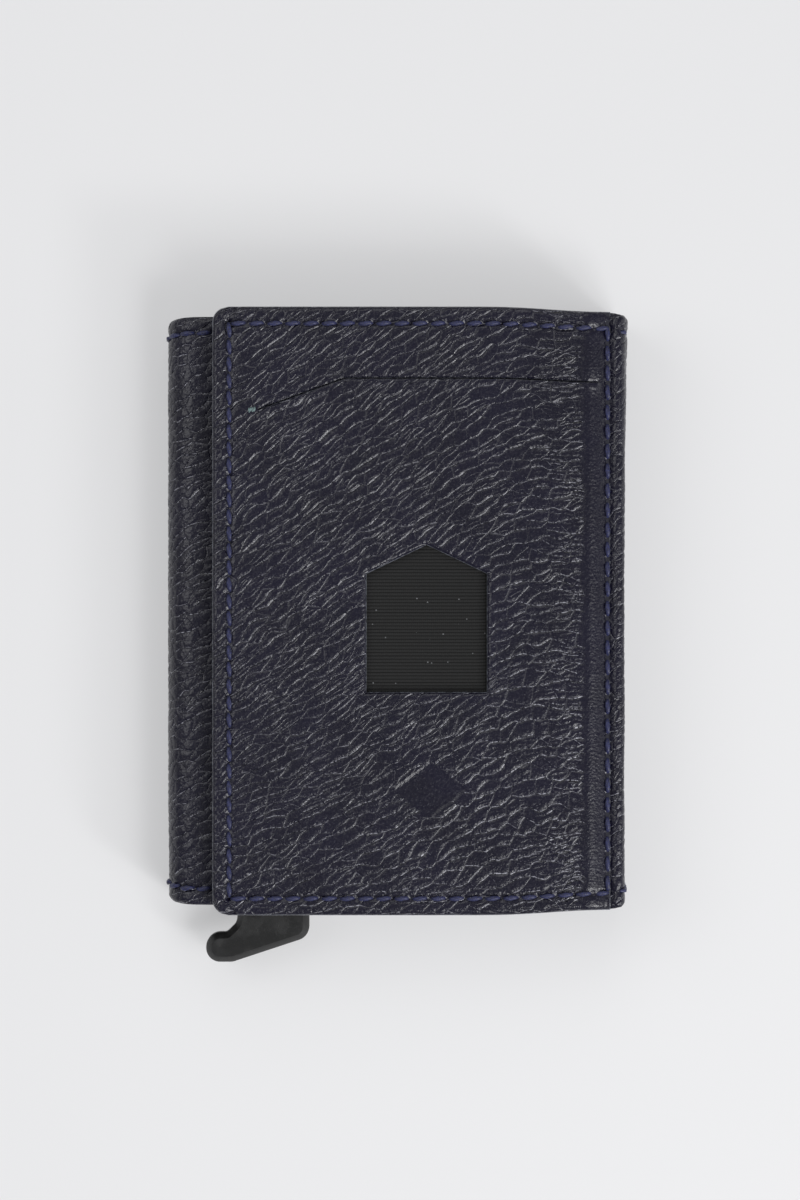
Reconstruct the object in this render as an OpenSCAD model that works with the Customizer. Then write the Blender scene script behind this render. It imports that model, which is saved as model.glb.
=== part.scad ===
/* [Cards] */
// Width of a card
card_w = 54; // [45:0.1:66]
// Height of a card
card_h = 85.6; // [70:0.1:104]
// Play on each side of a card in the case
card_gap = 0.6; // [0.3:0.1:1]

/* [Leather body] */
// Slack between the case and the leather, on the side of the spine
spine_room = 7; // [5:0.1:12]
// Thickness of the outer leather
leather_t = 1.3; // [0.9:0.1:1.6]
// Thickness of the lining and of the thin pocket cloth
lining_t = 0.3; // [0.2:0.1:0.5]
// Outer radius of the leather where it turns round the left side
wrap_r = 5; // [3:0.1:5.2]
// How far the side wrap reaches onto the front, under the flap
wrap_reach = 14; // [10:0.5:18]

/* [Flap] */
// How far the flap stands past the body at the top and at the bottom
flap_overhang = 1.3; // [0:0.1:3]
// Strip of the side wrap that the closed flap leaves bare
bare_strip = 8; // [6:0.1:10]
// Radius of the flap's two free corners
flap_corner_r = 2.6; // [1:0.1:6]
// Running gap between the closed flap and what lies under it
flap_gap = 0.4; // [0.3:0.1:1]
// Distance of the stitching from a leather edge
stitch_inset = 2.7; // [2:0.1:4]
// Width of the thread run
thread_w = 0.7; // [0.4:0.1:1]

/* [Front pocket] */
// Width of the card slit cut in the flap
slit_w = 0.4; // [0.3:0.1:1]
// Distance of the straight part of the slit below the flap's top edge
slit_inset = 11.7; // [8:0.1:18]
// Drop of the slit's slanted left end
slit_drop = 5.2; // [0:0.1:10]
// Width of the house-shaped thumb window
window_w = 20.1; // [12:0.1:26]
// Height of the window's straight sides
window_side_h = 19.7; // [12:0.1:26]
// Height of the window's roof
window_roof_h = 4.8; // [2:0.1:8]
// Width of the plain debossed lozenge
lozenge_w = 12; // [8:0.1:16]

/* [Card case] */
// Width of the hollow side channel on each side of the card bay
channel_w = 5.4; // [4.5:0.1:8]
// Thickness of the aluminium case
case_t = 8.4; // [8.2:0.1:12]
// Wall thickness of the case
case_wall = 0.8; // [0.5:0.1:0.9]
// Thickness of the felt strips
felt_t = 0.4; // [0.2:0.1:0.5]

/* [Ejector lever] */
// Diameter of the pivot pin
pin_d = 2; // [1.5:0.1:3]
// Radial running clearance of the lever on its pin
pin_clearance = 0.06; // [0.02:0.01:0.1]
// Gap between the longest lifting arm and the side of the card bay
arm_gap = 2; // [1.5:0.1:8]
// Number of stepped arms, one for each card
arm_steps = 5; // [3:1:6]
// Width of the finger tab where it leaves the case
tab_w = 12; // [10:0.1:13]

/* [Hidden] */
$fn = 64;
cut = 0.5;             // how far a cutting solid runs past the face it opens
join = 0.05;           // overlap of two shapes that make one solid

// Stack of layers from the resting face up
tape_t = 0.2;
board_t = 0.9;
pocket_t = 0.6;
facing_t = leather_t - pocket_t;
flap_pocket_t = 0.7;
flap_inner_t = 0.8;
flap_board_t = 0.6;
pocket_lining_t = 0.4;
z_lining = leather_t;
z_back_tape = z_lining + lining_t;
z_case = z_back_tape + tape_t;
z_front_tape = z_case + case_t;
z_board = z_front_tape + tape_t;
z_facing = z_board + board_t;
z_pocket = z_facing + facing_t;
z_body_top = z_pocket + pocket_t;
z_flap = z_body_top + flap_gap;
z_flap_inner = z_flap + flap_pocket_t;
z_flap_board = z_flap_inner + flap_inner_t;
z_flap_lining = z_flap_board + flap_board_t;
z_flap_leather = z_flap_lining + pocket_lining_t;
z_top = z_flap_leather + leather_t;

// Overall size, built up from the card
case_wrap_gap = 0.4;
bay_w = card_w + 2 * card_gap;
case_w = bay_w + 2 * channel_w;
body_w = case_w + case_wrap_gap + spine_room + 2 * leather_t + 0.4;
case_end_inset = 0.2;
mouth_room = 0.8;
cap_flange = 2.1;
lever_room = 8.2;
body_h = card_h + lever_room + cap_flange + case_end_inset + 2 * mouth_room;
half_w = body_w / 2;
half_h = body_h / 2;

// Fold lines of the right side: each is a round edge that the next panel turns about
hinge_gap = 0.3;
fold_low_r = 1.5;
fold_low_x = half_w - fold_low_r - 0.1;
fold_low_z = fold_low_r + 0.2;
fold_top_x = fold_low_x - 1.1;
fold_top_z = z_flap_leather - 1.2;
fold_top_r = z_flap_leather - fold_top_z - hinge_gap;
spine_lining_t = 0.6;
back_end_x = fold_low_x - fold_low_r - hinge_gap;

// Aluminium case
case_x0 = -half_w + leather_t + case_wrap_gap;
case_x1 = case_x0 + case_w;
case_mid_x = (case_x0 + case_x1) / 2;
case_mid_z = z_case + case_t / 2;
case_top_y = half_h - mouth_room;
case_low_y = -half_h + case_end_inset + cap_flange;
card_floor_y = case_low_y + lever_room;
cheek_t = 0.9;
fit_gap = 0.05;
lever_t = case_t - 2 * (case_wall + cheek_t + fit_gap) - 0.3;
lever_z = case_mid_z - lever_t / 2;

// Lever
pin_x = case_x0 + channel_w + 7.5;
pin_y = card_floor_y - 5.6;
hub_r = 4.2;
arm_h = 6;
arm_length = case_x1 - channel_w - arm_gap - pin_x;
tab_x0 = pin_x - 2.9;
tab_x1 = tab_x0 + tab_w;
tab_y = pin_y - 9.2;
toe = [pin_x - 5.6, pin_y - 12.4];
toe_r = 2.55;
heel_r = 2.5;
notch_r = 1.7;

// Flap
flap_x0 = -half_w + bare_strip;
flap_half_h = half_h + flap_overhang;
flap_x1 = fold_top_x - fold_top_r - hinge_gap;
flap_leather_x1 = fold_top_x + 0.3;
seam_x = flap_leather_x1 - 0.8;
thread_groove = 0.35;
thread_rise = 0.12;
groove_w = thread_w + 0.1;
magnet_d = 8;
magnet_t = 1;
magnet_x = flap_x0 + 9;
magnet_y = 30;

// Front pocket
slit_y = flap_half_h - slit_inset;
slit_start = [flap_x0 + 7.4, slit_y - slit_drop];
slit_bend = [flap_x0 + 21.8, slit_y - 0.2];
slit_end = [flap_leather_x1 - 2.6, slit_y];
window_x = 5.1;
window_y = -13.5;
lozenge = [5.6, 20.6 - flap_half_h];
lozenge_line = 0.8;
lozenge_depth = 0.25;

// A flat panel whose two left corners are round, from z for a thickness t
module left_round_panel(x0, x1, half, r, z, t) {
    translate([0, 0, z]) linear_extrude(t) {
        translate([x0 + r, -half]) square([x1 - x0 - r, 2 * half]);
        translate([x0, -half + r]) square([r + join, 2 * (half - r)]);
        for (s = [-1, 1]) translate([x0 + r, s * (half - r)]) circle(r);
    }
}

// A plain box given by its low corner and its high corner
module block(low, high) {
    translate(low) cube(high - low);
}

// A profile drawn in X and Z, carried along Y from y0 to y1
module along_y(y0, y1) {
    translate([0, y1, 0]) rotate([90, 0, 0]) linear_extrude(y1 - y0) children();
}

// Solid outline of the left side: a flat end with two round corners, in X and Z
module side_outline(x0, x1, z0, z1, r) {
    translate([x0 + r, z0]) square([x1 - x0 - r, z1 - z0]);
    translate([x0, z0 + r]) square([r + join, z1 - z0 - 2 * r]);
    for (z = [z0 + r, z1 - r]) translate([x0 + r, z]) circle(r);
}

// Section of a thin wall that goes round the left side from the back to the front
module wrap_section(offset_in, t) {
    inner = offset_in + t;
    difference() {
        side_outline(-half_w + offset_in, back_end_x, offset_in, z_body_top - offset_in, wrap_r - offset_in);
        side_outline(-half_w + inner, back_end_x + cut, inner, z_body_top - inner, wrap_r - inner);
        translate([-half_w + wrap_reach, inner]) square([2 * half_w, z_body_top]);
    }
}

module body_leather() {
    color("#26262e") difference() {
        along_y(-half_h, half_h) wrap_section(0, leather_t);
        for (s = [-1, 1]) body_thread_run(s * (half_h - stitch_inset), groove_w, -cut, thread_groove);
    }
}

// Thread run round the body at height y: thin wall of the wrap, cut to a width
module body_thread_run(y, w, z_out, depth) {
    along_y(y - w / 2, y + w / 2) difference() {
        side_outline(-half_w + z_out, back_end_x - 1, z_out, z_body_top - z_out, wrap_r);
        side_outline(-half_w + depth, back_end_x, depth, z_body_top - depth, wrap_r - depth);
        translate([-half_w + wrap_reach - 2, z_case]) square([2 * half_w, z_top]);
    }
}

module body_thread() {
    color("#2c2f86") for (s = [-1, 1])
        body_thread_run(s * (half_h - stitch_inset), thread_w, 0, thread_groove);
}

module back_lining() {
    color("#17171a") block([-half_w + wrap_r, -half_h + 0.6, z_lining], [back_end_x - 0.6, half_h - 0.6, z_back_tape]);
}

module back_tape() {
    color("#d8d8d0") block([case_x0 + 6, case_low_y + 4, z_back_tape], [case_x1 - 6, case_top_y - 4, z_case]);
}

module front_tape() {
    color("#d8d8d0") block([case_x0 + 6, case_low_y + 4, z_front_tape], [case_x1 - 6, case_top_y - 4, z_board]);
}

// The board stiffens the inner front and holds the keeper plates
module front_board() {
    color("#3a3834") difference() {
        block([-half_w + wrap_r, -half_h + 0.6, z_board], [flap_x1 - 1.8, half_h - 0.6, z_facing]);
        for (s = [-1, 1]) translate([magnet_x, s * magnet_y, z_board - cut]) cylinder(d = magnet_d, h = board_t + 2 * cut);
    }
}

module keeper_plates() {
    color("#b9bbbe") for (s = [-1, 1])
        translate([magnet_x, s * magnet_y, z_board]) cylinder(d = magnet_d, h = board_t);
}

module front_facing() {
    color("#26262e") block([-half_w + wrap_reach, -half_h, z_facing], [flap_x1 - 1, half_h, z_pocket]);
}

// Leather band that makes a card slot on the inner front, with a thumb notch in its mouth
module front_card_pocket() {
    mouth_y = half_h - 22;
    color("#26262e") translate([0, 0, z_pocket]) linear_extrude(pocket_t) difference() {
        translate([-half_w + wrap_reach + 1, -half_h]) square([flap_x1 - 2 + half_w - wrap_reach, mouth_y + half_h]);
        translate([case_mid_x + 4, mouth_y]) circle(9);
    }
}

// Section of the flat tube: two straight faces with half-round sides
module case_section(w, t) {
    square([w - t, t], center = true);
    for (s = [-1, 1]) translate([s * (w - t) / 2, 0]) circle(d = t);
}

// Extruded tube with an inner web on each side, which guides the cards
module case_sleeve() {
    color("#8f9194") translate([case_mid_x, 0, case_mid_z]) along_y(case_low_y, case_top_y) {
        difference() {
            case_section(case_w, case_t);
            case_section(case_w - 2 * case_wall, case_t - 2 * case_wall);
        }
        for (s = [-1, 1]) translate([s * (bay_w + case_wall) / 2, 0])
            square([case_wall, case_t - 2 * case_wall + 2 * join], center = true);
    }
}

module felt_strip(z) {
    block([case_mid_x - 24, case_top_y - 11, z], [case_mid_x + 24, case_top_y - 4, z + felt_t]);
}

module felt_back() {
    color("#2b2b2d") felt_strip(z_case + case_wall);
}

module felt_front() {
    color("#2b2b2d") felt_strip(z_case + case_t - case_wall - felt_t);
}

// Plug of the case: flange, two cheeks that carry the pin, and two blocks the cards stand on
module base_cap() {
    inner_w = bay_w - 2 * fit_gap;
    inner_t = case_t - 2 * (case_wall + fit_gap);
    room = lever_t / 2 + 0.15;
    color("#1d1d1e") translate([case_mid_x, 0, case_mid_z]) difference() {
        union() {
            along_y(case_low_y - cap_flange, case_low_y) case_section(case_w, case_t);
            along_y(case_low_y - join, card_floor_y) square([inner_w, inner_t], center = true);
        }
        // chamber that the arms and the hub turn in
        block([pin_x - hub_r - 1.3 - case_mid_x, case_low_y, -room],
              [bay_w / 2 - arm_gap / 2, card_floor_y + cut, room]);
        // window that the finger tab swings in
        block([pin_x - hub_r - 0.8 - case_mid_x, case_low_y - cap_flange - cut, -room],
              [tab_x1 + 4.9 - case_mid_x, case_low_y + cut, room]);
        translate([pin_x - case_mid_x, pin_y, -case_t]) cylinder(d = pin_d, h = 2 * case_t);
    }
}

module pivot_pin() {
    color("#b9bbbe") translate([pin_x, pin_y, z_case + case_wall + fit_gap])
        cylinder(d = pin_d, h = case_t - 2 * (case_wall + fit_gap));
}

// Outline of the tab outside the case: neck, toe on the left and heel on the right
module tab_outline() {
    heel = [tab_x1 - heel_r, tab_y - heel_r + 1.9];
    difference() {
        union() {
            translate(toe) circle(toe_r);
            translate(heel) circle(heel_r);
            polygon([
                [tab_x0, pin_y], [tab_x1, pin_y], [tab_x1, heel[1]], [heel[0], heel[1] - heel_r],
                [toe[0] + toe_r + 0.8, toe[1] - toe_r + 0.6], [toe[0], toe[1] - toe_r],
                [toe[0], toe[1] + toe_r], [tab_x0, toe[1] + toe_r + notch_r]
            ]);
        }
        translate([tab_x0 - notch_r, toe[1] + toe_r + notch_r]) circle(notch_r);
    }
}

// Bell crank: each arm is one card thick and shorter than the last, so the cards rise in steps
module eject_lever() {
    step_t = lever_t / arm_steps;
    step_run = 7;
    color("#2a2a2b") difference() {
        union() {
            translate([pin_x, pin_y, lever_z]) cylinder(r = hub_r, h = lever_t);
            translate([0, 0, lever_z]) linear_extrude(lever_t) tab_outline();
            for (k = [0 : arm_steps - 1])
                block([pin_x, card_floor_y - arm_h, lever_z + k * step_t],
                      [pin_x + arm_length - (arm_steps - 1 - k) * step_run, card_floor_y, lever_z + (k + 1) * step_t]);
        }
        translate([pin_x, pin_y, lever_z - cut]) cylinder(r = pin_d / 2 + pin_clearance, h = lever_t + 2 * cut);
    }
}

// Section of the spine between its two fold lines, in X and Z
module spine_section() {
    translate([fold_low_x, fold_low_z]) circle(fold_low_r);
    translate([fold_top_x, fold_top_z]) circle(fold_top_r);
    bend_z = fold_top_z - 1.6;
    polygon([
        [fold_low_x + 0.3, fold_low_z], [half_w - 0.1, fold_low_z], [half_w, fold_low_z + 3],
        [half_w, fold_top_z - 5], [half_w - 0.4, fold_top_z - 3.2],
        [fold_top_x + 1.4, bend_z], [fold_top_x + 0.7, fold_top_z - 0.56],
        [fold_top_x - 0.6, fold_top_z - 0.67], [fold_top_x + 0.5, fold_top_z - 2.2],
        [half_w - leather_t, fold_top_z - 4.4], [half_w - leather_t, fold_low_z + 2]
    ]);
}

module spine_leather() {
    color("#2c2c35") difference() {
        along_y(-half_h, half_h) spine_section();
        for (s = [-1, 1]) spine_thread_run(s * (half_h - stitch_inset), groove_w, cut);
    }
}

module spine_thread_run(y, w, out) {
    block([half_w - thread_groove, y - w / 2, fold_low_z + 3], [half_w + out, y + w / 2, fold_top_z - 5]);
}

module spine_thread() {
    color("#2c2f86") for (s = [-1, 1]) spine_thread_run(s * (half_h - stitch_inset), thread_w, 0);
}

module spine_lining() {
    color("#17171a") block([half_w - leather_t - spine_lining_t, -half_h + 0.6, fold_low_z + 2.2],
                           [half_w - leather_t, half_h - 0.6, fold_top_z - 4.6]);
}

// Thread run of the flap: left edge, top, bottom and the seam at the spine
module flap_thread_plan(w) {
    x_left = flap_x0 + stitch_inset;
    y_row = flap_half_h - stitch_inset;
    for (s = [-1, 1]) translate([flap_x0 + 1, s * y_row - w / 2]) square([seam_x + w / 2 - flap_x0 - 1, w]);
    for (x = [x_left, seam_x]) translate([x - w / 2, -flap_half_h + 1]) square([w, 2 * (flap_half_h - 1)]);
}

// Narrow slot with one bend; its width is measured along Y
module slit_plan(w) {
    route = [slit_start, slit_bend, slit_end];
    above = [for (p = route) p + [0, w / 2]];
    below = [for (k = [2 : -1 : 0]) route[k] - [0, w / 2]];
    polygon(concat(above, below));
}

module window_plan() {
    translate([window_x, window_y]) polygon([
        [-window_w / 2, 0], [window_w / 2, 0], [window_w / 2, window_side_h],
        [0, window_side_h + window_roof_h], [-window_w / 2, window_side_h]
    ]);
}

module lozenge_plan(w) {
    h = w * 0.76;
    polygon([[-w / 2, 0], [0, -h / 2], [w / 2, 0], [0, h / 2]]);
}

module flap_leather() {
    color("#2c2c35") difference() {
        left_round_panel(flap_x0, flap_leather_x1, flap_half_h, flap_corner_r, z_flap_leather, leather_t);
        translate([0, 0, z_top - thread_groove]) linear_extrude(leather_t) flap_thread_plan(groove_w);
        translate([0, 0, z_flap_leather - cut]) linear_extrude(leather_t + 2 * cut) {
            slit_plan(slit_w);
            window_plan();
        }
        translate([lozenge[0], lozenge[1], z_top - lozenge_depth]) linear_extrude(leather_t) difference() {
            lozenge_plan(lozenge_w);
            lozenge_plan(lozenge_w - 3 * lozenge_line);
        }
    }
}

module flap_thread() {
    color("#2c2f86") translate([0, 0, z_top - thread_groove]) linear_extrude(thread_groove + thread_rise)
        flap_thread_plan(thread_w);
}

// Small knot of thread that keeps the slit from tearing
module slit_bartack() {
    color("#9fc0bf") translate([slit_start[0] - 1.2, slit_start[1] - 0.5, z_top])
        rotate([0, 0, 20]) translate([-0.8, -0.4, 0]) cube([1.5, 0.8, 0.25]);
}

module flap_pocket_lining() {
    color("#2d2d2e") left_round_panel(flap_x0, flap_x1, flap_half_h, flap_corner_r, z_flap_lining, pocket_lining_t);
}

module flap_board() {
    color("#3a3834") difference() {
        flap_board_bed(flap_board_t);
        for (s = [-1, 1]) translate([magnet_x, s * magnet_y, z_flap_board - cut]) cylinder(d = magnet_d, h = leather_t);
    }
}

module flap_magnets() {
    color("#b9bbbe") for (s = [-1, 1])
        translate([magnet_x, s * magnet_y, z_flap_lining - magnet_t]) cylinder(d = magnet_d, h = magnet_t);
}

// Shape of the board, and of the bed that the inner leather holds it in
module flap_board_bed(t) {
    margin = stitch_inset + 1.5;
    left_round_panel(flap_x0 + margin, flap_x1 - margin, flap_half_h - margin, flap_corner_r, z_flap_board, t);
}

module flap_inner_leather() {
    color("#26262e") difference() {
        left_round_panel(flap_x0, flap_x1, flap_half_h, flap_corner_r, z_flap_inner, flap_inner_t + flap_board_t);
        flap_board_bed(leather_t);
        for (s = [-1, 1]) translate([magnet_x, s * magnet_y, z_flap_lining - magnet_t]) cylinder(d = magnet_d, h = leather_t);
    }
}

// Two leather bands on the inside of the flap, each the front of one card slot
module flap_inner_pockets() {
    x0 = flap_x0 + 5;
    lip = 0.5;
    low_mouth = 24;
    top_mouth = 37;
    color("#26262e") translate([0, 0, z_flap]) linear_extrude(flap_pocket_t) {
        translate([x0, -flap_half_h]) square([flap_x1 - x0, low_mouth + flap_half_h]);
        translate([x0, low_mouth + lip]) square([flap_x1 - x0, top_mouth - low_mouth - lip]);
    }
}

body_leather();
back_lining();
back_tape();
front_tape();
front_board();
front_facing();
front_card_pocket();
keeper_plates();
body_thread();
case_sleeve();
base_cap();
felt_front();
felt_back();
pivot_pin();
eject_lever();
spine_leather();
spine_lining();
spine_thread();
flap_leather();
flap_pocket_lining();
flap_board();
flap_inner_leather();
flap_inner_pockets();
flap_magnets();
flap_thread();
slit_bartack();
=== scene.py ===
# %% [markdown]
# A card wallet in numpy and Blender
#
# The wallet is a flat aluminium card case held in dark pebbled leather. The solid parts come from a
# imported CAD model, which stays where it is. This lesson dresses it: each leather panel becomes a curved
# sheet worked out with numpy, the threads become single stitches, and each finish is a small node
# network. First the frame is loaded, and the boxes of the flap, the body leather and the case are read.

# %% Load the frame
import math

import bpy
import numpy as np
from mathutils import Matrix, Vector


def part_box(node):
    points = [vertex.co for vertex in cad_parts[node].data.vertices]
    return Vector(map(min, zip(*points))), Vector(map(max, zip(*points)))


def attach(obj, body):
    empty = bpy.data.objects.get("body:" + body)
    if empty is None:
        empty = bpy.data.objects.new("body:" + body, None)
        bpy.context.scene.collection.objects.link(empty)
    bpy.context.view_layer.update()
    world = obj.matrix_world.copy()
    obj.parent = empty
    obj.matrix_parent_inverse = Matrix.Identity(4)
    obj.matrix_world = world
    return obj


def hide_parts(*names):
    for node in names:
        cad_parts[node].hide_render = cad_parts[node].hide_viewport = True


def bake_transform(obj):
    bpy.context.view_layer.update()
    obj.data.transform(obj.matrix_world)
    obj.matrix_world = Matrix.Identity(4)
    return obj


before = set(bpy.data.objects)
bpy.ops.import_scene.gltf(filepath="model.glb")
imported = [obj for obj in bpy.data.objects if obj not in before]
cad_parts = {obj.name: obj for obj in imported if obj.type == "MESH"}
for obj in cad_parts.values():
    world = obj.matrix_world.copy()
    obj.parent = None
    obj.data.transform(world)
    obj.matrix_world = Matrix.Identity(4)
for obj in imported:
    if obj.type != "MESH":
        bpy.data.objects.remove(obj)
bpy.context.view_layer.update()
MM = 0.001


def corners(node):
    """Low and high corner of a CAD node, in millimetres."""
    low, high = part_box(node)
    return np.array(low) / MM, np.array(high) / MM


flap_low, flap_high = corners("flap_leather")
body_low, body_high = corners("body_leather")
case_low, case_high = corners("case_sleeve")
print("flap", flap_low.round(2), flap_high.round(2))
print("body", body_low.round(2), body_high.round(2))

# %% [markdown]
# Camera, floor and light
#
# The wallet is looked at from straight above, with a long lens, as a product shot on a table. A long lens
# keeps the sides from spreading. Dark leather shows its grain only through what it reflects, so four wide
# soft lamps and two small ones stand round it, the strongest of them on the lower right. The nearest,
# called sheen, is small and weak and makes the leather brighter towards that side. The floor glows a
# little, which keeps the shadows pale without flooding the leather with light from above. A brighter
# world would do that too, but it would grey the leather.

# %% Camera
LOOK_AT = (0.7 * MM, 1.8 * MM)
CAMERA_HEIGHT = 649 * MM
camera_data = bpy.data.cameras.new("camera")
camera_data.lens = 115
camera_data.clip_end = 20
camera = bpy.data.objects.new("camera", camera_data)
camera.location = (*LOOK_AT, CAMERA_HEIGHT)
bpy.context.scene.collection.objects.link(camera)
bpy.context.scene.camera = camera
print("camera", round(CAMERA_HEIGHT / MM), "mm above the table")


# %% Floor, world and lamps
def area_light(name, place, target, size, watts, colour=(1, 1, 1)):
    """A square lamp at place that faces target."""
    data = bpy.data.lights.new(name, "AREA")
    data.size = size
    data.energy = watts
    data.color = colour
    lamp = bpy.data.objects.new(name, data)
    lamp.location = place
    aim = Vector(target) - Vector(place)
    lamp.rotation_euler = aim.to_track_quat("-Z", "Y").to_euler()
    bpy.context.scene.collection.objects.link(lamp)
    return lamp


def set_inputs(shader, values):
    """Sets inputs of a shader node by their names."""
    for socket, value in values.items():
        shader.inputs[socket].default_value = value


area_light("key", (0.60, -0.50, 0.75), (0, 0, 0), 0.7, 5.2)
area_light("rim", (0.88, -0.72, 0.64), (0, 0, 0), 0.2, 4.5)
area_light("sheen", (0.20, -0.27, 0.42), (0.02, -0.02, 0), 0.14, 0.6)
area_light("left", (-0.65, 0.25, 0.80), (0, 0, 0), 0.7, 3.4)
area_light("top", (0.0, 0.85, 0.80), (0, 0, 0), 0.6, 2.0)
area_light("right", (1.1, 0.1, 0.22), (0, 0, 0), 0.5, 1.2)

world = bpy.data.worlds.new("studio")
world.use_nodes = True
set_inputs(world.node_tree.nodes["Background"], {"Color": (0.95, 0.97, 1, 1), "Strength": 0.30})
bpy.context.scene.world = world
bpy.context.scene.view_settings.view_transform = "Standard"

floor_mesh = bpy.data.meshes.new("floor")
floor_mesh.from_pydata([(-1.5, -1.5, 0), (1.5, -1.5, 0), (1.5, 1.5, 0), (-1.5, 1.5, 0)], [], [(0, 1, 2, 3)])
floor = bpy.data.objects.new("floor", floor_mesh)
bpy.context.scene.collection.objects.link(floor)

paper = bpy.data.materials.new("pale_floor")
paper.use_nodes = True
set_inputs(paper.node_tree.nodes["Principled BSDF"],
           {"Base Color": (0.38, 0.38, 0.385, 1), "Roughness": 0.95, "Specular IOR Level": 0.1,
            "Emission Color": (0.99, 0.99, 1, 1), "Emission Strength": 0.38})
floor_mesh.materials.append(paper)

# %% [markdown]
# From arrays to a mesh
#
# Every piece here ends as a list of points and some lists of faces. Blender can take them one at a time,
# but foreach_set copies whole numpy arrays at once, which stays quick for a hundred thousand points.


# %% Mesh builder
def build_mesh(name, points, face_groups, sharp=50):
    """An object from points in mm and (faces, material number) pairs; each faces array has one row a face."""
    face_groups = [(np.asarray(f), m) for f, m in face_groups if len(f)]
    used = np.unique(np.concatenate([f.ravel() for f, _ in face_groups]))
    new_number = np.zeros(len(points), int)
    new_number[used] = np.arange(len(used))
    loops = np.concatenate([new_number[f].ravel() for f, _ in face_groups])
    sizes = np.concatenate([np.full(len(f), f.shape[1]) for f, _ in face_groups])
    slots = np.concatenate([np.full(len(f), m) for f, m in face_groups])
    mesh = bpy.data.meshes.new(name)
    mesh.vertices.add(len(used))
    mesh.vertices.foreach_set("co", (points[used] * MM).astype(np.float32).ravel())
    mesh.loops.add(len(loops))
    mesh.loops.foreach_set("vertex_index", loops.astype(np.int32))
    mesh.polygons.add(len(sizes))
    mesh.polygons.foreach_set("loop_start", np.concatenate([[0], np.cumsum(sizes)[:-1]]).astype(np.int32))
    mesh.polygons.foreach_set("material_index", slots.astype(np.int32))
    mesh.polygons.foreach_set("use_smooth", np.ones(len(sizes), bool))
    mesh.update(calc_edges=True)
    mesh.set_sharp_from_angle(angle=math.radians(sharp))
    piece = bpy.data.objects.new(name, mesh)
    bpy.context.scene.collection.objects.link(piece)
    return piece, used


def give(piece, used, **values):
    """Stores one number, or three, for each point of the piece, under each name."""
    for name, value in values.items():
        value = np.asarray(value, np.float32)[used]
        kind, key = ("FLOAT_VECTOR", "vector") if value.ndim == 2 else ("FLOAT", "value")
        piece.data.attributes.new(name, kind, "POINT").data.foreach_set(key, value.ravel())


def dress(piece, body, finishes, replaced=()):
    """Gives the piece its materials, the body it moves with and the CAD nodes it stands for."""
    for finish in finishes:
        piece.data.materials.append(finish)
    if body:
        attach(piece, body)
    if replaced:
        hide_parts(*replaced)
    print(piece.name, len(piece.data.polygons), "faces")
    return piece


# %% [markdown]
# A closed sheet of leather
#
# A leather panel is a sheet with two faces and a cut edge that is rounded and painted. The top face needs
# a fine grid for its grain, but the underside doesn't, so this helper joins a fine top to an underside
# with a quarter of the points along each side. Blender's Solidify would copy the fine grid downward and
# double the triangles. The edge is one extra ring of points, which stands out a little and gives the round.


# %% Sheet helper
EVERY = 4               # fine cells on the top for each cell of the underside


def sheet_walls(keep, fine_cols):
    """Directed runs of EVERY fine cells along the border of the kept cells, and their underside ends."""
    rows, cols = keep.shape
    padded = np.zeros((rows + 2, cols + 2), bool)
    padded[1:-1, 1:-1] = keep
    steps = np.arange(EVERY + 1)
    runs, ends = [], []
    for dr, dc in ((-1, 0), (1, 0), (0, -1), (0, 1)):
        r, c = np.nonzero(keep & ~padded[1 + dr:rows + 1 + dr, 1 + dc:cols + 1 + dc])
        # the run goes the way that the top face's own edge does: anticlockwise from above
        r0, c0 = r + (dr > 0) + (dc < 0), c + (dc > 0) + (dr > 0)
        step_r, step_c = (dc > 0) * 1 - (dc < 0) * 1, (dr < 0) * 1 - (dr > 0) * 1
        fine_r = (r0 * EVERY)[:, None] + step_r * steps
        fine_c = (c0 * EVERY)[:, None] + step_c * steps
        runs.append(fine_r * fine_cols + fine_c)
        ends.append(np.stack([r0 * (cols + 1) + c0, (r0 + step_r) * (cols + 1) + c0 + step_c], 1))
    return np.concatenate(runs), np.concatenate(ends)


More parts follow.
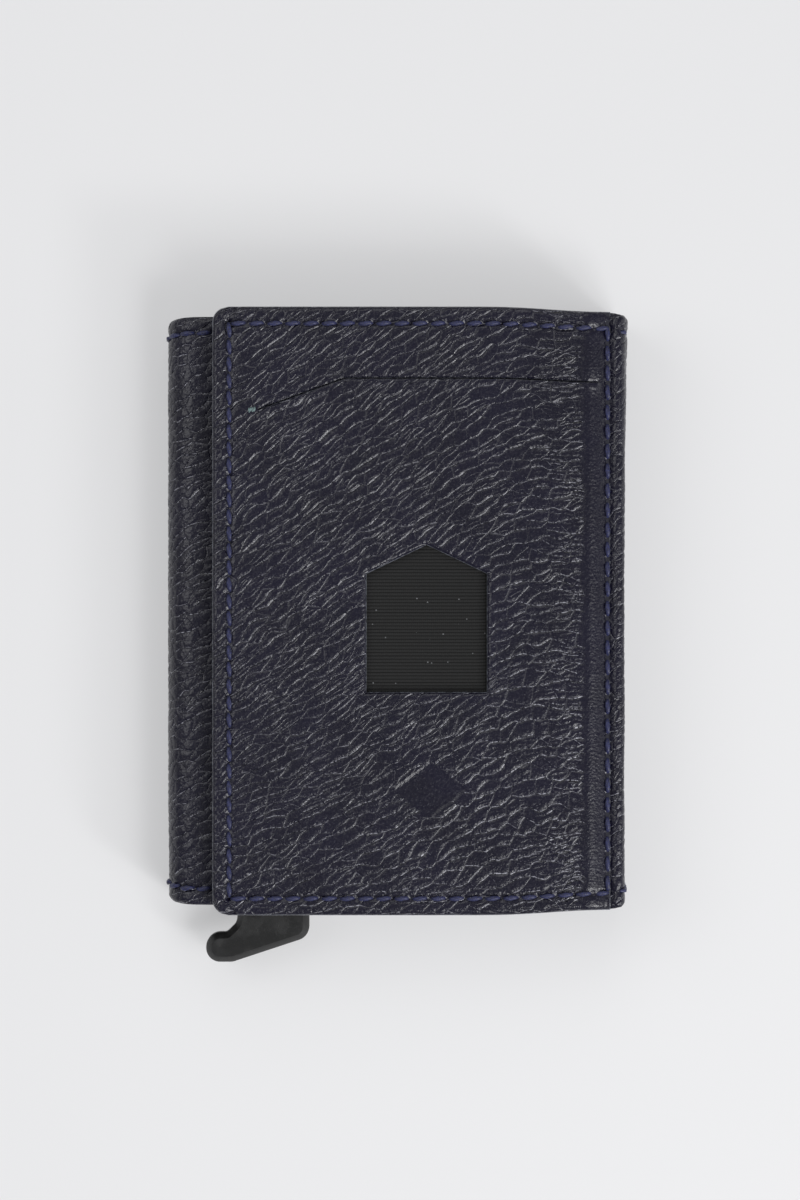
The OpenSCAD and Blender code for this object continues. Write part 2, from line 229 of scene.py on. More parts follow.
def leather_sheet(name, base, normal, height, thickness, keep=None, bulge=0.12, sharp=50, **values):
    """A closed sheet. Top point = base + normal x height; underside = base - normal x thickness."""
    rows, cols = height.shape
    if keep is None:
        keep = np.ones(((rows - 1) // EVERY, (cols - 1) // EVERY), bool)
    top = (base + normal * height[..., None]).reshape(-1, 3)
    low = (base - normal * thickness).reshape(-1, 3)
    number = np.arange(rows * cols).reshape(rows, cols)
    fine_keep = np.kron(keep, np.ones((EVERY, EVERY), bool))
    quads = np.stack([number[:-1, :-1], number[:-1, 1:], number[1:, 1:], number[1:, :-1]], -1)[fine_keep]
    coarse = number[::EVERY, ::EVERY]
    low_id = len(top) + np.arange(coarse.size).reshape(coarse.shape)
    under = np.stack([low_id[:-1, :-1], low_id[1:, :-1], low_id[1:, 1:], low_id[:-1, 1:]], -1)[keep]
    runs, ends = sheet_walls(keep, cols)
    border = np.unique(runs)
    # outward direction at each border point, from the edges that meet there
    along = top[runs[:, 1:]] - top[runs[:, :-1]]
    outward = np.cross(along, normal.reshape(-1, 3)[runs[:, :-1]])
    push = np.zeros_like(top)
    np.add.at(push, runs[:, :-1].ravel(), outward.reshape(-1, 3))
    np.add.at(push, runs[:, 1:].ravel(), outward.reshape(-1, 3))
    push /= np.linalg.norm(push, axis=1, keepdims=True) + 1e-9
    ring = (top[border] + low[border]) / 2 + push[border] * bulge
    ring_id = np.zeros(len(top), int)
    ring_id[border] = len(top) + coarse.size + np.arange(len(border))
    a, b = runs[:, :-1].ravel(), runs[:, 1:].ravel()
    walls = np.stack([b, a, ring_id[a], ring_id[b]], 1)
    foot = len(top) + ends
    skirts = np.concatenate([ring_id[runs[:, ::-1]], foot], 1)
    points = np.concatenate([top, low[coarse.ravel()], ring])
    source = np.concatenate([np.arange(len(top)), coarse.ravel(), border])
    piece, used = build_mesh(name, points, [(quads, 0), (under, 1), (walls, 2), (skirts, 2)], sharp)
    for key, value in values.items():
        flat = np.asarray(value).reshape(len(top), -1).squeeze()
        give(piece, used, **{key: flat[source]})
    return piece


# %% [markdown]
# The grain
#
# Pebbled leather is covered with flat cells, and a crease runs between each cell and the next. Blender's
# Voronoi texture makes such cells, and the leather material uses it. The creases have to be pressed into
# the mesh as well, at exactly the same places. So the same texture is run here on loose points, by a small
# geometry node group, and numpy reads back which two cell points are nearest. A second Voronoi written in
# numpy would need Blender's own random numbers, and a displacement modifier can't be measured or masked.


# %% Cells from Blender's own texture
def nearest_cells(p, q):
    """Places of the nearest and the second nearest cell point of a 2D Voronoi texture, at each p, q."""
    mesh = bpy.data.meshes.new("probe")
    mesh.vertices.add(p.size)
    mesh.vertices.foreach_set("co", np.stack([p, q, 0 * p], -1).astype(np.float32).ravel())
    probe = bpy.data.objects.new("probe", mesh)
    bpy.context.scene.collection.objects.link(probe)
    group = bpy.data.node_groups.new("probe", "GeometryNodeTree")
    group.interface.new_socket("Geometry", in_out="INPUT", socket_type="NodeSocketGeometry")
    group.interface.new_socket("Geometry", in_out="OUTPUT", socket_type="NodeSocketGeometry")
    flow = group.nodes.new("NodeGroupInput").outputs[0]
    place = group.nodes.new("GeometryNodeInputPosition").outputs[0]
    for feature in ("F1", "F2"):
        cells = group.nodes.new("ShaderNodeTexVoronoi")
        cells.voronoi_dimensions = "2D"
        cells.feature = feature
        cells.inputs["Scale"].default_value = 1
        cells.inputs["Randomness"].default_value = RANDOMNESS
        group.links.new(place, cells.inputs["Vector"])
        store = group.nodes.new("GeometryNodeStoreNamedAttribute")
        store.data_type = "FLOAT_VECTOR"
        store.inputs["Name"].default_value = feature
        group.links.new(flow, store.inputs["Geometry"])
        group.links.new(cells.outputs["Position"], store.inputs["Value"])
        flow = store.outputs[0]
    group.links.new(flow, group.nodes.new("NodeGroupOutput").inputs[0])
    probe.modifiers.new("cells", "NODES").node_group = group
    done = probe.evaluated_get(bpy.context.evaluated_depsgraph_get()).data
    found = []
    for feature in ("F1", "F2"):
        values = np.zeros(p.size * 3, np.float32)
        done.attributes[feature].data.foreach_get("vector", values)
        found.append(values.reshape(p.shape + (3,))[..., :2].astype(float))
    bpy.data.objects.remove(probe)
    bpy.data.meshes.remove(mesh)
    bpy.data.node_groups.remove(group)
    return found


RANDOMNESS = 0.92
MAIN_CELL = (3.1, 1.7)          # length and width of a pebble, mm
FINE_CELL = (1.8, 0.8)          # length and width of the small cells inside it, mm
CROSS, FINE_CROSS = 0.14, 0.24  # how much shallower a crease is across the cells, mm
FADE_FROM, FADE = 0.22, 0.8     # above this weakness of the fine creases, the main ones fade too


def cell_crease(cells, size, cross):
    """Distance in mm to the line halfway between the two nearest cell points, larger across the pebbles."""
    size = np.array(size)
    at = cells[..., :2] / size
    first, second = nearest_cells(at[..., 0], at[..., 1])
    gap = second - first
    difference = ((at - second) ** 2).sum(-1) - ((at - first) ** 2).sum(-1)
    slope = np.linalg.norm(gap / size, axis=-1)
    return difference / (2 * slope) + cross * np.abs(gap[..., 0]) / np.linalg.norm(gap, axis=-1)


def leather_crease(cells, fine):
    """Distance to the nearest crease: main cells, and fine cells whose creases are weaker by fine."""
    main = cell_crease(cells, MAIN_CELL, CROSS)
    small = cell_crease(cells, FINE_CELL, FINE_CROSS)
    faded = main + FADE * np.maximum(fine - FADE_FROM, 0)
    return np.minimum(faded, small + fine) + cells[..., 2]


def crease_height(crease, depth=0.17, width=0.32):
    """Height in mm of the grain: flat cells that roll down to a groove of the given depth."""
    return -depth * np.exp(-(np.maximum(crease, 0) / width) ** 1.4)


# %% Noise, and the map of the grain
def scatter(i, j, seed):
    """A number from 0 to 1 for each lattice cell: what is left of a large sine after its whole part."""
    return np.mod(np.sin(i * 127.1 + j * 311.7 + seed * 74.7) * 43758.5453, 1.0)


def waves(x, y, size, seed):
    """Smooth noise from -1 to 1: scattered numbers on a square lattice, blended across each cell."""
    x, y = x / size, y / size
    i, j = np.floor(x), np.floor(y)
    fx, fy = x - i, y - j
    fx, fy = fx * fx * (3 - 2 * fx), fy * fy * (3 - 2 * fy)
    low = scatter(i, j, seed) * (1 - fx) + scatter(i + 1, j, seed) * fx
    high = scatter(i, j + 1, seed) * (1 - fx) + scatter(i + 1, j + 1, seed) * fx
    return 2 * (low * (1 - fy) + high * fy) - 1


def smooth(t):
    """0 below 0, 1 above 1 and a smooth step between."""
    t = np.clip(t, 0, 1)
    return t * t * (3 - 2 * t)


def grain_map(x, y, lean, bend, seed, calm=0.0, size=1.0):
    """Where each point lies among the cells, in mm: wavered places, sheared so that cells lean; z is calm."""
    wx = x + 0.6 * waves(x, y, 3.4, seed) + 0.16 * waves(x, y, 1.2, seed + 1)
    wy = y + 0.5 * waves(x, y, 3.0, seed + 2) + 0.16 * waves(x, y, 1.0, seed + 3)
    cells = np.stack([wx + 37.0 * seed, wy - lean * bend(wx) + 23.0 * seed], -1) / size
    return np.concatenate([cells, np.broadcast_to(calm, x.shape)[..., None]], -1)


# %% [markdown]
# Materials
#
# Each finish is a Principled shader with a few texture nodes. The leather reads where each point lies among
# the cells, and runs the same Voronoi on it as the mesh did, so that the colour and the fine bump sit
# exactly on the pressed grain and stay sharp between the points. Each crease is painted darker, as painted
# shade, and the shoulder beside it, mostly on its lower side, is painted paler in short dashes: a painted
# highlight, partly wear, stronger towards the lower right where the lamps stand. Places are read in
# millimetres from an attribute that follows the leather round its bends. A picture of leather would repeat,
# and would miss the creases.


# %% Node helpers
def new_finish(name, roughness, metallic=0.0, specular=0.5, sheen=0.0):
    """A material with a Principled shader; returns the material, its tree and the shader."""
    material = bpy.data.materials.new(name)
    material.use_nodes = True
    shader = material.node_tree.nodes["Principled BSDF"]
    set_inputs(shader, {"Roughness": roughness, "Metallic": metallic, "Specular IOR Level": specular,
                        "Sheen Weight": sheen})
    return material, material.node_tree, shader


def node(tree, kind, output=0, settings=(), **inputs):
    """Adds a node and returns one of its outputs; an input is a number or another node's output."""
    made = tree.nodes.new("ShaderNode" + kind)
    for key, value in dict(settings).items():
        setattr(made, key, value)
    for key, value in inputs.items():
        numbered = key[0] == "i" and key[1:].isdigit()
        socket = made.inputs[int(key[1:]) if numbered else key.replace("_", " ")]
        if isinstance(value, bpy.types.NodeSocket):
            tree.links.new(value, socket)
        else:
            socket.default_value = value
    return made.outputs[output]


def calc(tree, operation, a, b=0.0):
    """A Math node."""
    return node(tree, "Math", settings={"operation": operation}, i0=a, i1=b)


def mix_colour(tree, factor, a, b):
    """A Mix node for colours: a where factor is 0, b where it is 1."""
    return node(tree, "Mix", output=2, settings={"data_type": "RGBA"}, i0=factor, i6=a, i7=b)


def remap(tree, value, low, high, to_low=0.0, to_high=1.0):
    """A smooth step of value between low and high."""
    return node(tree, "MapRange", settings={"interpolation_type": "SMOOTHSTEP"}, Value=value,
                From_Min=low, From_Max=high, To_Min=to_low, To_Max=to_high)


def attribute(tree, name, output):
    """A value stored on the piece's points: output 1 is its vector, 2 its number."""
    return node(tree, "Attribute", output=output, settings={"attribute_name": name})


def object_place(tree):
    """Object coordinates, in metres."""
    return node(tree, "TexCoord", output=3)


def bump(tree, height, depth_mm, below=None):
    """A Bump node of that depth on top of another."""
    made = tree.nodes.new("ShaderNodeBump")
    made.inputs["Distance"].default_value = depth_mm * MM
    tree.links.new(height, made.inputs["Height"])
    if below is not None:
        tree.links.new(below, made.inputs["Normal"])
    return made.outputs[0]


def paint(tree, shader, colour=None, roughness=None, normal=None):
    """Links what is given to the shader."""
    for value, socket in ((colour, "Base Color"), (roughness, "Roughness"), (normal, "Normal")):
        if value is not None:
            tree.links.new(value, shader.inputs[socket])


# %% Leather finish
def vector_calc(tree, operation, a, b=(0, 0, 0), output=0):
    """A Vector Math node."""
    return node(tree, "VectorMath", output=output, settings={"operation": operation}, i0=a, i1=b)


def crease_nodes(tree, cells, size, cross):
    """The same distance as cell_crease, in nodes, and how far the crease lies below the point, -1 to 1."""
    shrink = (1 / size[0], 1 / size[1], 0)
    at = vector_calc(tree, "MULTIPLY", cells, shrink)
    found = []
    for feature in ("F1", "F2"):
        settings = {"voronoi_dimensions": "2D", "feature": feature}
        made = node(tree, "TexVoronoi", settings=settings, Vector=at, Scale=1.0, Randomness=RANDOMNESS)
        found.append((made.node.outputs["Distance"], made.node.outputs["Position"]))
    (near, near_at), (far, far_at) = found
    gap = vector_calc(tree, "SUBTRACT", far_at, near_at)
    slope = vector_calc(tree, "LENGTH", vector_calc(tree, "MULTIPLY", gap, shrink), output=1)
    difference = calc(tree, "MULTIPLY", calc(tree, "SUBTRACT", far, near), calc(tree, "ADD", far, near))
    distance = calc(tree, "DIVIDE", difference, calc(tree, "MULTIPLY", slope, 2.0))
    along = vector_calc(tree, "NORMALIZE", gap)
    across = calc(tree, "ABSOLUTE", node(tree, "SeparateXYZ", Vector=along))
    below = calc(tree, "MULTIPLY", node(tree, "SeparateXYZ", output=1, Vector=along), -1.0)
    return calc(tree, "ADD", distance, calc(tree, "MULTIPLY", across, cross)), below


def leather_finish(name, base, highlight_and_wear, groove, roughness=0.28, pores=0.05, specular=0.42, depth=0.12):
    """Dyed leather: painted shade in the creases, a painted highlight, partly wear, on the shoulders beside
    them, with fine pores.
    """
    material, tree, shader = new_finish(name, roughness, specular=specular)
    place = attribute(tree, "leather_at", 1)
    cells = attribute(tree, "cells", 1)
    calm = node(tree, "SeparateXYZ", output=2, Vector=cells)
    main, main_below = crease_nodes(tree, cells, MAIN_CELL, CROSS)
    fine = attribute(tree, "fine", 2)
    past = calc(tree, "MAXIMUM", calc(tree, "SUBTRACT", fine, FADE_FROM), 0.0)
    main = calc(tree, "ADD", main, calc(tree, "MULTIPLY", past, FADE))
    small, small_below = crease_nodes(tree, cells, FINE_CELL, FINE_CROSS)
    small = calc(tree, "ADD", small, fine)
    # below belongs to the crease that is nearer, so it is chosen as the smaller distance is
    main_nearer = calc(tree, "LESS_THAN", main, small)
    change = calc(tree, "MULTIPLY", main_nearer, calc(tree, "SUBTRACT", main_below, small_below))
    below = calc(tree, "ADD", small_below, change)
    crease = calc(tree, "ADD", calc(tree, "MINIMUM", main, small), calm)
    cloud = node(tree, "TexNoise", Vector=place, Scale=0.09, Detail=3.0)
    speck = node(tree, "TexNoise", Vector=place, Scale=1.9, Detail=3.0, Roughness=0.8)
    pale_specks = node(tree, "TexNoise", Vector=place, Scale=2.7, Detail=2.0, Roughness=0.7)
    pore = node(tree, "TexVoronoi", settings={"feature": "SMOOTH_F1"}, Vector=place, Scale=2.4,
                Smoothness=0.5)
    fibre = node(tree, "TexNoise", Vector=place, Scale=6.0, Detail=2.0)
    paler = tuple(c * 1.3 for c in base[:3]) + (1,)
    body = mix_colour(tree, remap(tree, cloud, 0.35, 0.65), base, paler)
    # painted shade: each crease is coloured towards the dark groove colour, fading to the body colour 0.14 mm
    # away
    out_of_crease_shade = remap(tree, crease, 0.0, 0.14)
    rise = remap(tree, crease, 0.02, 0.07)
    # painted highlight, partly wear: a pale band on each crease's shoulder, mostly on its lower side, broken
    # into dashes
    shoulder_highlight = calc(tree, "MULTIPLY", rise, remap(tree, crease, 0.09, 0.18, 1.0, 0.0))
    shoulder_highlight = calc(tree, "MULTIPLY", shoulder_highlight, remap(tree, below, -0.3, 0.3, 0.12, 1.0))
    highlight_and_wear_mask = calc(tree, "MULTIPLY", shoulder_highlight, remap(tree, speck, 0.44, 0.58))
    # painted highlight: stronger towards the lower right, where the lamps stand, weaker towards the top left
    place_x = node(tree, "SeparateXYZ", Vector=place)
    to_top_left = calc(tree, "SUBTRACT", node(tree, "SeparateXYZ", output=1, Vector=place), place_x)
    highlight_and_wear_mask = calc(tree, "MULTIPLY", highlight_and_wear_mask, remap(tree, to_top_left, -75.0, 65.0, 1.1, 0.45))
    # random pale specks in the same painted highlight colour
    highlight_and_wear_mask = calc(tree, "ADD", highlight_and_wear_mask, remap(tree, pale_specks, 0.58, 0.76, 0.0, 0.1))
    colour = mix_colour(tree, out_of_crease_shade, groove, body)
    colour = mix_colour(tree, highlight_and_wear_mask, colour, highlight_and_wear)
    rough = remap(tree, speck, 0.3, 0.7, roughness - 0.08, roughness + 0.08)
    height = bump(tree, remap(tree, crease, -0.02, 0.3), depth)
    height = bump(tree, pore, pores, height)
    height = bump(tree, fibre, 0.02, height)
    paint(tree, shader, colour, rough, height)
    return material


# each leather has a base colour, a pale colour for the painted highlight, partly wear, on the crease
# shoulders, and a dark colour for the painted shade in the creases
NAVY = (0.0040, 0.0034, 0.0112, 1)
NAVY_HIGHLIGHT_AND_WEAR = (0.36, 0.36, 0.41, 1)
NAVY_CREASE_SHADE = (0.003, 0.003, 0.006, 1)
outer_leather = leather_finish("outer_leather", NAVY, NAVY_HIGHLIGHT_AND_WEAR, NAVY_CREASE_SHADE)
lining_leather = leather_finish("lining_leather", (0.008, 0.008, 0.012, 1), (0.055, 0.055, 0.068, 1),
                                (0.003, 0.003, 0.005, 1), roughness=0.45, pores=0.03, depth=0.08)


# %% Cut edge, suede, thread and cloth
def fibre_finish(name, dark, pale, scale, detail, turn, depth, roughness, **gloss):
    """One noise gives the colour, which goes from dark to pale within turn, and a bump of that depth."""
    material, tree, shader = new_finish(name, roughness, **gloss)
    noise = node(tree, "TexNoise", Vector=object_place(tree), Scale=scale, Detail=detail)
    shade = remap(tree, noise, *turn) if turn else noise
    paint(tree, shader, mix_colour(tree, shade, dark, pale), None, bump(tree, noise, depth))
    return material


RIB = 0.55              # from one rib of the cloth to the next, mm


def ribbed_finish():
    """Charcoal ribbed textile: the ribs are modelled, and are also painted paler on their crowns as painted
    highlight and darker between them as painted shade; crossing threads and pale specks of dust are painted
    too.
    """
    material, tree, shader = new_finish("ribbed_cloth", 0.8, specular=0.22, sheen=0.06)
    place = attribute(tree, "leather_at", 1)
    across = node(tree, "TexWave", settings={"bands_direction": "X"}, Vector=place, Scale=0.95,
                  Distortion=0.6)
    nap = node(tree, "TexNoise", Vector=place, Scale=3.5, Detail=3.0)
    pale_specks = node(tree, "TexVoronoi", Vector=place, Scale=0.55, Randomness=1.0)
    rib_turn = calc(tree, "MULTIPLY", node(tree, "SeparateXYZ", output=1, Vector=place), math.pi / RIB)
    # painted light and shade: paler on each rib's crown, darker in the valley between ribs
    rib_light_and_shade = calc(tree, "ABSOLUTE", calc(tree, "COSINE", rib_turn))
    shade = calc(tree, "MULTIPLY", remap(tree, rib_light_and_shade, 0.15, 0.75), calc(tree, "ADD", nap, 0.4))
    shade = calc(tree, "MULTIPLY", shade, remap(tree, across, 0.1, 0.9, 0.7, 1.1))
    colour = mix_colour(tree, shade, (0.0015, 0.0015, 0.0015, 1), (0.018, 0.018, 0.018, 1))
    colour = mix_colour(tree, remap(tree, pale_specks, 0.05, 0.075, 0.5, 0.0), colour, (0.3, 0.31, 0.32, 1))
    height = bump(tree, across, 0.03)
    paint(tree, shader, colour, None, bump(tree, nap, 0.02, height))
    return material


# the painted cut edge is a little paler than the face, with a soft gloss and small dents
edge_paint = fibre_finish("edge_paint", (0.05, 0.052, 0.065, 1), (0.16, 0.17, 0.2, 1), 1400.0, 3.0,
                          (0.4, 0.65), 0.05, 0.38)
# the flesh side of the leather is matt, with short fibres
flesh_side = fibre_finish("flesh_side", (0.012, 0.012, 0.017, 1), (0.035, 0.035, 0.046, 1), 2600.0, 4.0,
                          None, 0.06, 0.9, specular=0.2, sheen=0.15)
# the waxed thread has fine fibres and a soft sheen
waxed = {"scale": 5200.0, "detail": 3.0, "turn": (0.35, 0.65), "depth": 0.03, "roughness": 0.5, "sheen": 0.1}
blue_thread = fibre_finish("blue_thread", (0.005, 0.006, 0.030, 1), (0.014, 0.018, 0.085, 1), **waxed)
teal_thread = fibre_finish("teal_thread", (0.05, 0.08, 0.085, 1), (0.16, 0.23, 0.23, 1), **waxed)
ribbed_cloth = ribbed_finish()
LEATHER = (outer_leather, flesh_side, edge_paint)
LINING = (lining_leather, flesh_side, edge_paint)
print("finishes", ", ".join(material.name for material in bpy.data.materials))

# %% [markdown]
# Front flap
#
# The flap is one panel of leather with a card slit, a house-shaped window and three rows of stitches. Its
# grid is warped so that one row of points follows the window's roof and two rows follow the slit. The
# cells inside the window and the slit are then simply left out, which gives clean cut edges. Cutting with
# a boolean would also work, but it would leave ragged triangles in the grain.

# %% Sizes of the flap
FLAP_LEFT, FLAP_RIGHT = flap_low[0], flap_high[0] - 0.45
FLAP_HALF = flap_high[1]
FLAP_TOP, FLAP_UNDER = flap_high[2], flap_low[2]
STITCH_INSET = 2.7
SEAM_X = flap_high[0] - 0.8
CORNER = 2.6
WINDOW_X, WINDOW_LOW = 5.1, -13.5
WINDOW_HALF, WINDOW_SIDE, WINDOW_ROOF = 10.05, 19.7, 4.8
SLIT_Y, SLIT_DROP = 38.4, 5.2
SLIT_X = (FLAP_LEFT + 7.4, FLAP_LEFT + 21.8, flap_high[0] - 2.6)
SLIT_HALF = 0.15
LOZENGE_AT = (5.6, -29.5)
LOZENGE_HALF = (6.0, 4.6)
print("window", 2 * WINDOW_HALF, "mm wide and", round(WINDOW_SIDE + WINDOW_ROOF, 1), "mm high")


# %% Grid of the flap
def spread(stops, cells):
    """Places from stop to stop, with cells x EVERY even steps in each stretch."""
    parts = [np.linspace(a, b, n * EVERY, endpoint=False) for a, b, n in zip(stops, stops[1:], cells)]
    return np.concatenate(parts + [[stops[-1]]])


def slit_line(x):
    """Height of the slit: level on the right, and slanting down to its left end."""
    return np.interp(x, SLIT_X[:2], (SLIT_Y - SLIT_DROP, SLIT_Y))


def roof_line(x):
    """Height of the window's shoulders, raised to the roof's peak inside the window."""
    return WINDOW_LOW + WINDOW_SIDE + WINDOW_ROOF * np.clip(1 - np.abs(x - WINDOW_X) / WINDOW_HALF, 0, 1)


def taper(x, y):
    """The panel draws in a little towards the spine, where the leather is pulled round the fold."""
    return y * (1 - 0.017 * smooth((x - 12) / 22) ** 1.5)


def rounded(x, y, half):
    """x moved in near the two left corners, so that the left edge of a flap layer ends in round corners."""
    depth = np.clip(CORNER - (half - np.abs(y)), 0, CORNER)
    round_off = CORNER - np.sqrt(CORNER ** 2 - depth ** 2)
    return x + round_off * np.clip(1 - (x - FLAP_LEFT) / 6, 0, 1)


def flap_grid():
    """Grid places x, y (rows, cols) of the flap, before the taper, and the cells that are kept."""
    x_stops = (FLAP_LEFT, SLIT_X[0], SLIT_X[1], WINDOW_X - WINDOW_HALF, WINDOW_X + WINDOW_HALF,
               SLIT_X[2], FLAP_RIGHT)
    x_cells = (7, 13, 3, 18, 16, 2)
    y_cells = (32, 18, 24, 1, 12)
    x = spread(x_stops, x_cells)
    level = np.ones_like(x)
    curves = np.stack([-FLAP_HALF * level, WINDOW_LOW * level, roof_line(x),
                       slit_line(x) - SLIT_HALF, slit_line(x) + SLIT_HALF, FLAP_HALF * level])
    t = spread(range(len(curves)), y_cells)
    k = np.minimum(t.astype(int), len(curves) - 2)
    y = curves[k] * (1 - (t - k))[:, None] + curves[k + 1] * (t - k)[:, None]
    x = np.broadcast_to(x, y.shape)
    keep = np.ones((sum(y_cells), sum(x_cells)), bool)
    col, row = np.cumsum((0,) + x_cells), np.cumsum((0,) + y_cells)
    keep[row[1]:row[2], col[3]:col[4]] = False
    keep[row[3]:row[4], col[1]:col[5]] = False
    return x, y, keep


def house_distance(x, y):
    """Distance in mm outside the window's outline, roughly, and negative inside."""
    slope = WINDOW_ROOF / WINDOW_HALF
    above_peak = y - (WINDOW_LOW + WINDOW_SIDE + WINDOW_ROOF)
    roof = (above_peak + slope * np.abs(x - WINDOW_X)) / math.hypot(1, slope)
    return np.maximum(np.maximum(np.abs(x - WINDOW_X) - WINDOW_HALF, WINDOW_LOW - y), roof)


# %% Height of the flap
def roll(distance, reach):
    """1 at an edge, falling to 0 at reach: how far a rounded edge has dropped."""
    return np.clip(1 - distance / reach, 0, 1) ** 2


def stitch_ditch(across, along, pitch, first):
    """Groove that a row of stitches pulls into the leather, with a pit at each needle hole."""
    hole = (along - first) / pitch
    hole = (hole - np.round(hole)) * pitch
    groove = -0.2 * np.exp(-(across / 0.6) ** 2)
    return groove - 0.38 * np.exp(-(across / 0.34) ** 2 - (hole / 0.36) ** 2)


DROP_FROM = 31.4        # x where the face starts to drop towards the seam, mm


def seam_drop(x):
    """How far the face has dropped at x, where the leather is pulled down to the seam."""
    return 1.05 * smooth((x - DROP_FROM) / (SEAM_X - DROP_FROM)) ** 1.3


ROW_PITCH, LEFT_PITCH, SEAM_PITCH = 3.0, 2.8, 3.3
LEFT_ROW = FLAP_LEFT + STITCH_INSET
END_ROW = FLAP_HALF - STITCH_INSET


def flap_rows(x, y):
    """Depth pulled in by the left row, the two end rows and the seam."""
    depth = stitch_ditch(x - LEFT_ROW, y, LEFT_PITCH, -END_ROW)
    depth = depth + stitch_ditch(y - END_ROW, x, ROW_PITCH, LEFT_ROW)
    depth = depth + stitch_ditch(y + END_ROW, x, ROW_PITCH, LEFT_ROW)
    return depth + stitch_ditch(x - SEAM_X, y, SEAM_PITCH, -END_ROW)


def flap_bend(x):
    """How far the grain has climbed at x: steep on the left and level beside the seam."""
    t = np.clip((x - 8) / 20, 0, 1)
    return x - 20 * (t ** 3 - t ** 4 / 2) - np.maximum(x - 28, 0)


def flap_relief(x, y):
    """Height in mm of the flap's face, its place among the cells, and how weak its fine creases are."""
    lean = 0.62 - 0.3 * smooth((-8 - y) / 40)
    lozenge_x = np.abs(x - LOZENGE_AT[0]) / LOZENGE_HALF[0]
    lozenge_y = np.abs(y - LOZENGE_AT[1]) / LOZENGE_HALF[1]
    inside = smooth((1 - lozenge_x - lozenge_y) / 0.1 + 0.5)
    calm = 1.2 * smooth((x + 0.6 * waves(x, y, 2.5, 44) - 30.6) / 1.6) + 0.5 * inside
    cells = grain_map(x, y, lean, flap_bend, 3, calm)
    near_seam = smooth((x - 22) / 6)
    fine = 0.2 + 0.14 * waves(x, y, 2.4, 11) - 0.18 * near_seam
    height = crease_height(leather_crease(cells, fine))
    height += 0.05 * waves(x, y, 5.0, 41) + 0.09 * waves(x, y, 17.0, 42) * smooth((31 - x) / 4)
    edge = np.minimum(FLAP_HALF - np.abs(y), x - FLAP_LEFT)
    height -= 0.42 * roll(edge, 0.8) + 0.10 * np.exp(-((x - FLAP_LEFT - 1.0) / 0.22) ** 2)
    height -= 0.28 * roll(np.maximum(house_distance(x, y), 0), 0.55)
    over_slit = (x > SLIT_X[0]) & (x < SLIT_X[2] + 0.3)
    from_slit = y - slit_line(x)
    raised, pressed = np.exp(-(from_slit / 1.3) ** 2), np.exp(-(from_slit / 1.6) ** 2)
    lip = np.where(from_slit < 0, 0.22 * raised, -0.16 * pressed)
    height += np.where(over_slit, lip - 0.12 * roll(np.abs(from_slit) - SLIT_HALF, 0.4), 0)
    height -= 0.24 * inside
    height += flap_rows(x, y)
    height -= seam_drop(x)
    return height, cells, fine


# %% Make the flap leather
gx, gy, flap_keep = flap_grid()
flap_height, flap_cells, flap_fine = flap_relief(gx, gy)
flap_base = np.stack([rounded(gx, gy, FLAP_HALF), taper(gx, gy), np.full_like(gx, FLAP_TOP)], -1)
up = np.broadcast_to((0.0, 0.0, 1.0), flap_base.shape)
front_flap = leather_sheet("front_flap_leather", flap_base, up, flap_height, FLAP_TOP - FLAP_UNDER,
                           keep=flap_keep, cells=flap_cells, fine=flap_fine,
                           leather_at=np.stack([gx, gy, 0 * gx], -1))
dress(front_flap, "flap", LEATHER, ["flap_leather"])

# %% [markdown]
# Stitches
#
# A lockstitch is a short run of twisted thread that dives into a hole at each end. Each stitch is one
# small closed tube of a few dozen faces: its middle line is an arch, and its round section is squeezed
# into two lobes that turn along it, so the two plies show. One function places a whole row at once.

# %% Stitch builder
RINGS, SIDES = 7, 8
STITCH = 2.55           # length of a stitch, mm
THREAD_SINK = 0.22      # how far a stitch's middle line starts below the flap's face, mm
STRIP_SINK = 0.42       # and below the strip's section line


def stitches(name, centres, along, upward, length, width=0.78, rise=0.3, slant=0.12):
    """Tubes: middle line = centre + along x t + upward x arch(t), section = turning two-lobed oval."""
    count = len(centres)
    t = np.linspace(-1, 1, RINGS)
    angle = np.linspace(0, 2 * np.pi, SIDES, endpoint=False)
    across = np.cross(upward, along)
    arch = rise * (1 - np.abs(t) ** 3) - 0.35 * np.abs(t) ** 6
    girth = width / 2 * (1 - 0.45 * np.abs(t) ** 4)
    lobes = 1 + 0.16 * np.cos(2 * (angle[None, :] - 2.6 * t[:, None]))
    side = girth[:, None] * lobes * np.cos(angle) + slant * t[:, None]
    lift = arch[:, None] + girth[:, None] * lobes * np.sin(angle) * 0.8
    run = np.broadcast_to((t * length / 2)[:, None], side.shape)
    points = centres[:, None, None] + along[:, None, None] * run[None, ..., None]
    points = points + across[:, None, None] * side[None, ..., None]
    points = points + upward[:, None, None] * lift[None, ..., None]
    ring = np.arange(RINGS * SIDES).reshape(RINGS, SIDES)
    turned = np.roll(ring, -1, axis=1)
    quads = np.stack([ring[:-1], turned[:-1], turned[1:], ring[1:]], -1).reshape(-1, 4)
    caps = np.stack([ring[0, ::-1], ring[-1]])
    shift = (np.arange(count) * RINGS * SIDES)[:, None, None]
    groups = [((quads + shift).reshape(-1, 4), 0), ((caps + shift).reshape(-1, SIDES), 0)]
    return build_mesh(name, points.reshape(-1, 3), groups, sharp=80)[0]


def row_places(start, end, pitch):
    """Middles of the stitches between holes that start at start and stand pitch apart."""
    count = int(round((end - start) / pitch))
    return start + (np.arange(count) + 0.5) * pitch


def flap_row(x, y, along):
    """Centres, directions and up vectors of a row on the flap's face at x, y."""
    x, y = np.broadcast_arrays(x, y)
    centres = np.stack([x, taper(x, y), FLAP_TOP - THREAD_SINK - seam_drop(x)], -1)
    return centres, np.broadcast_to(along, centres.shape), np.broadcast_to((0.0, 0.0, 1.0), centres.shape)


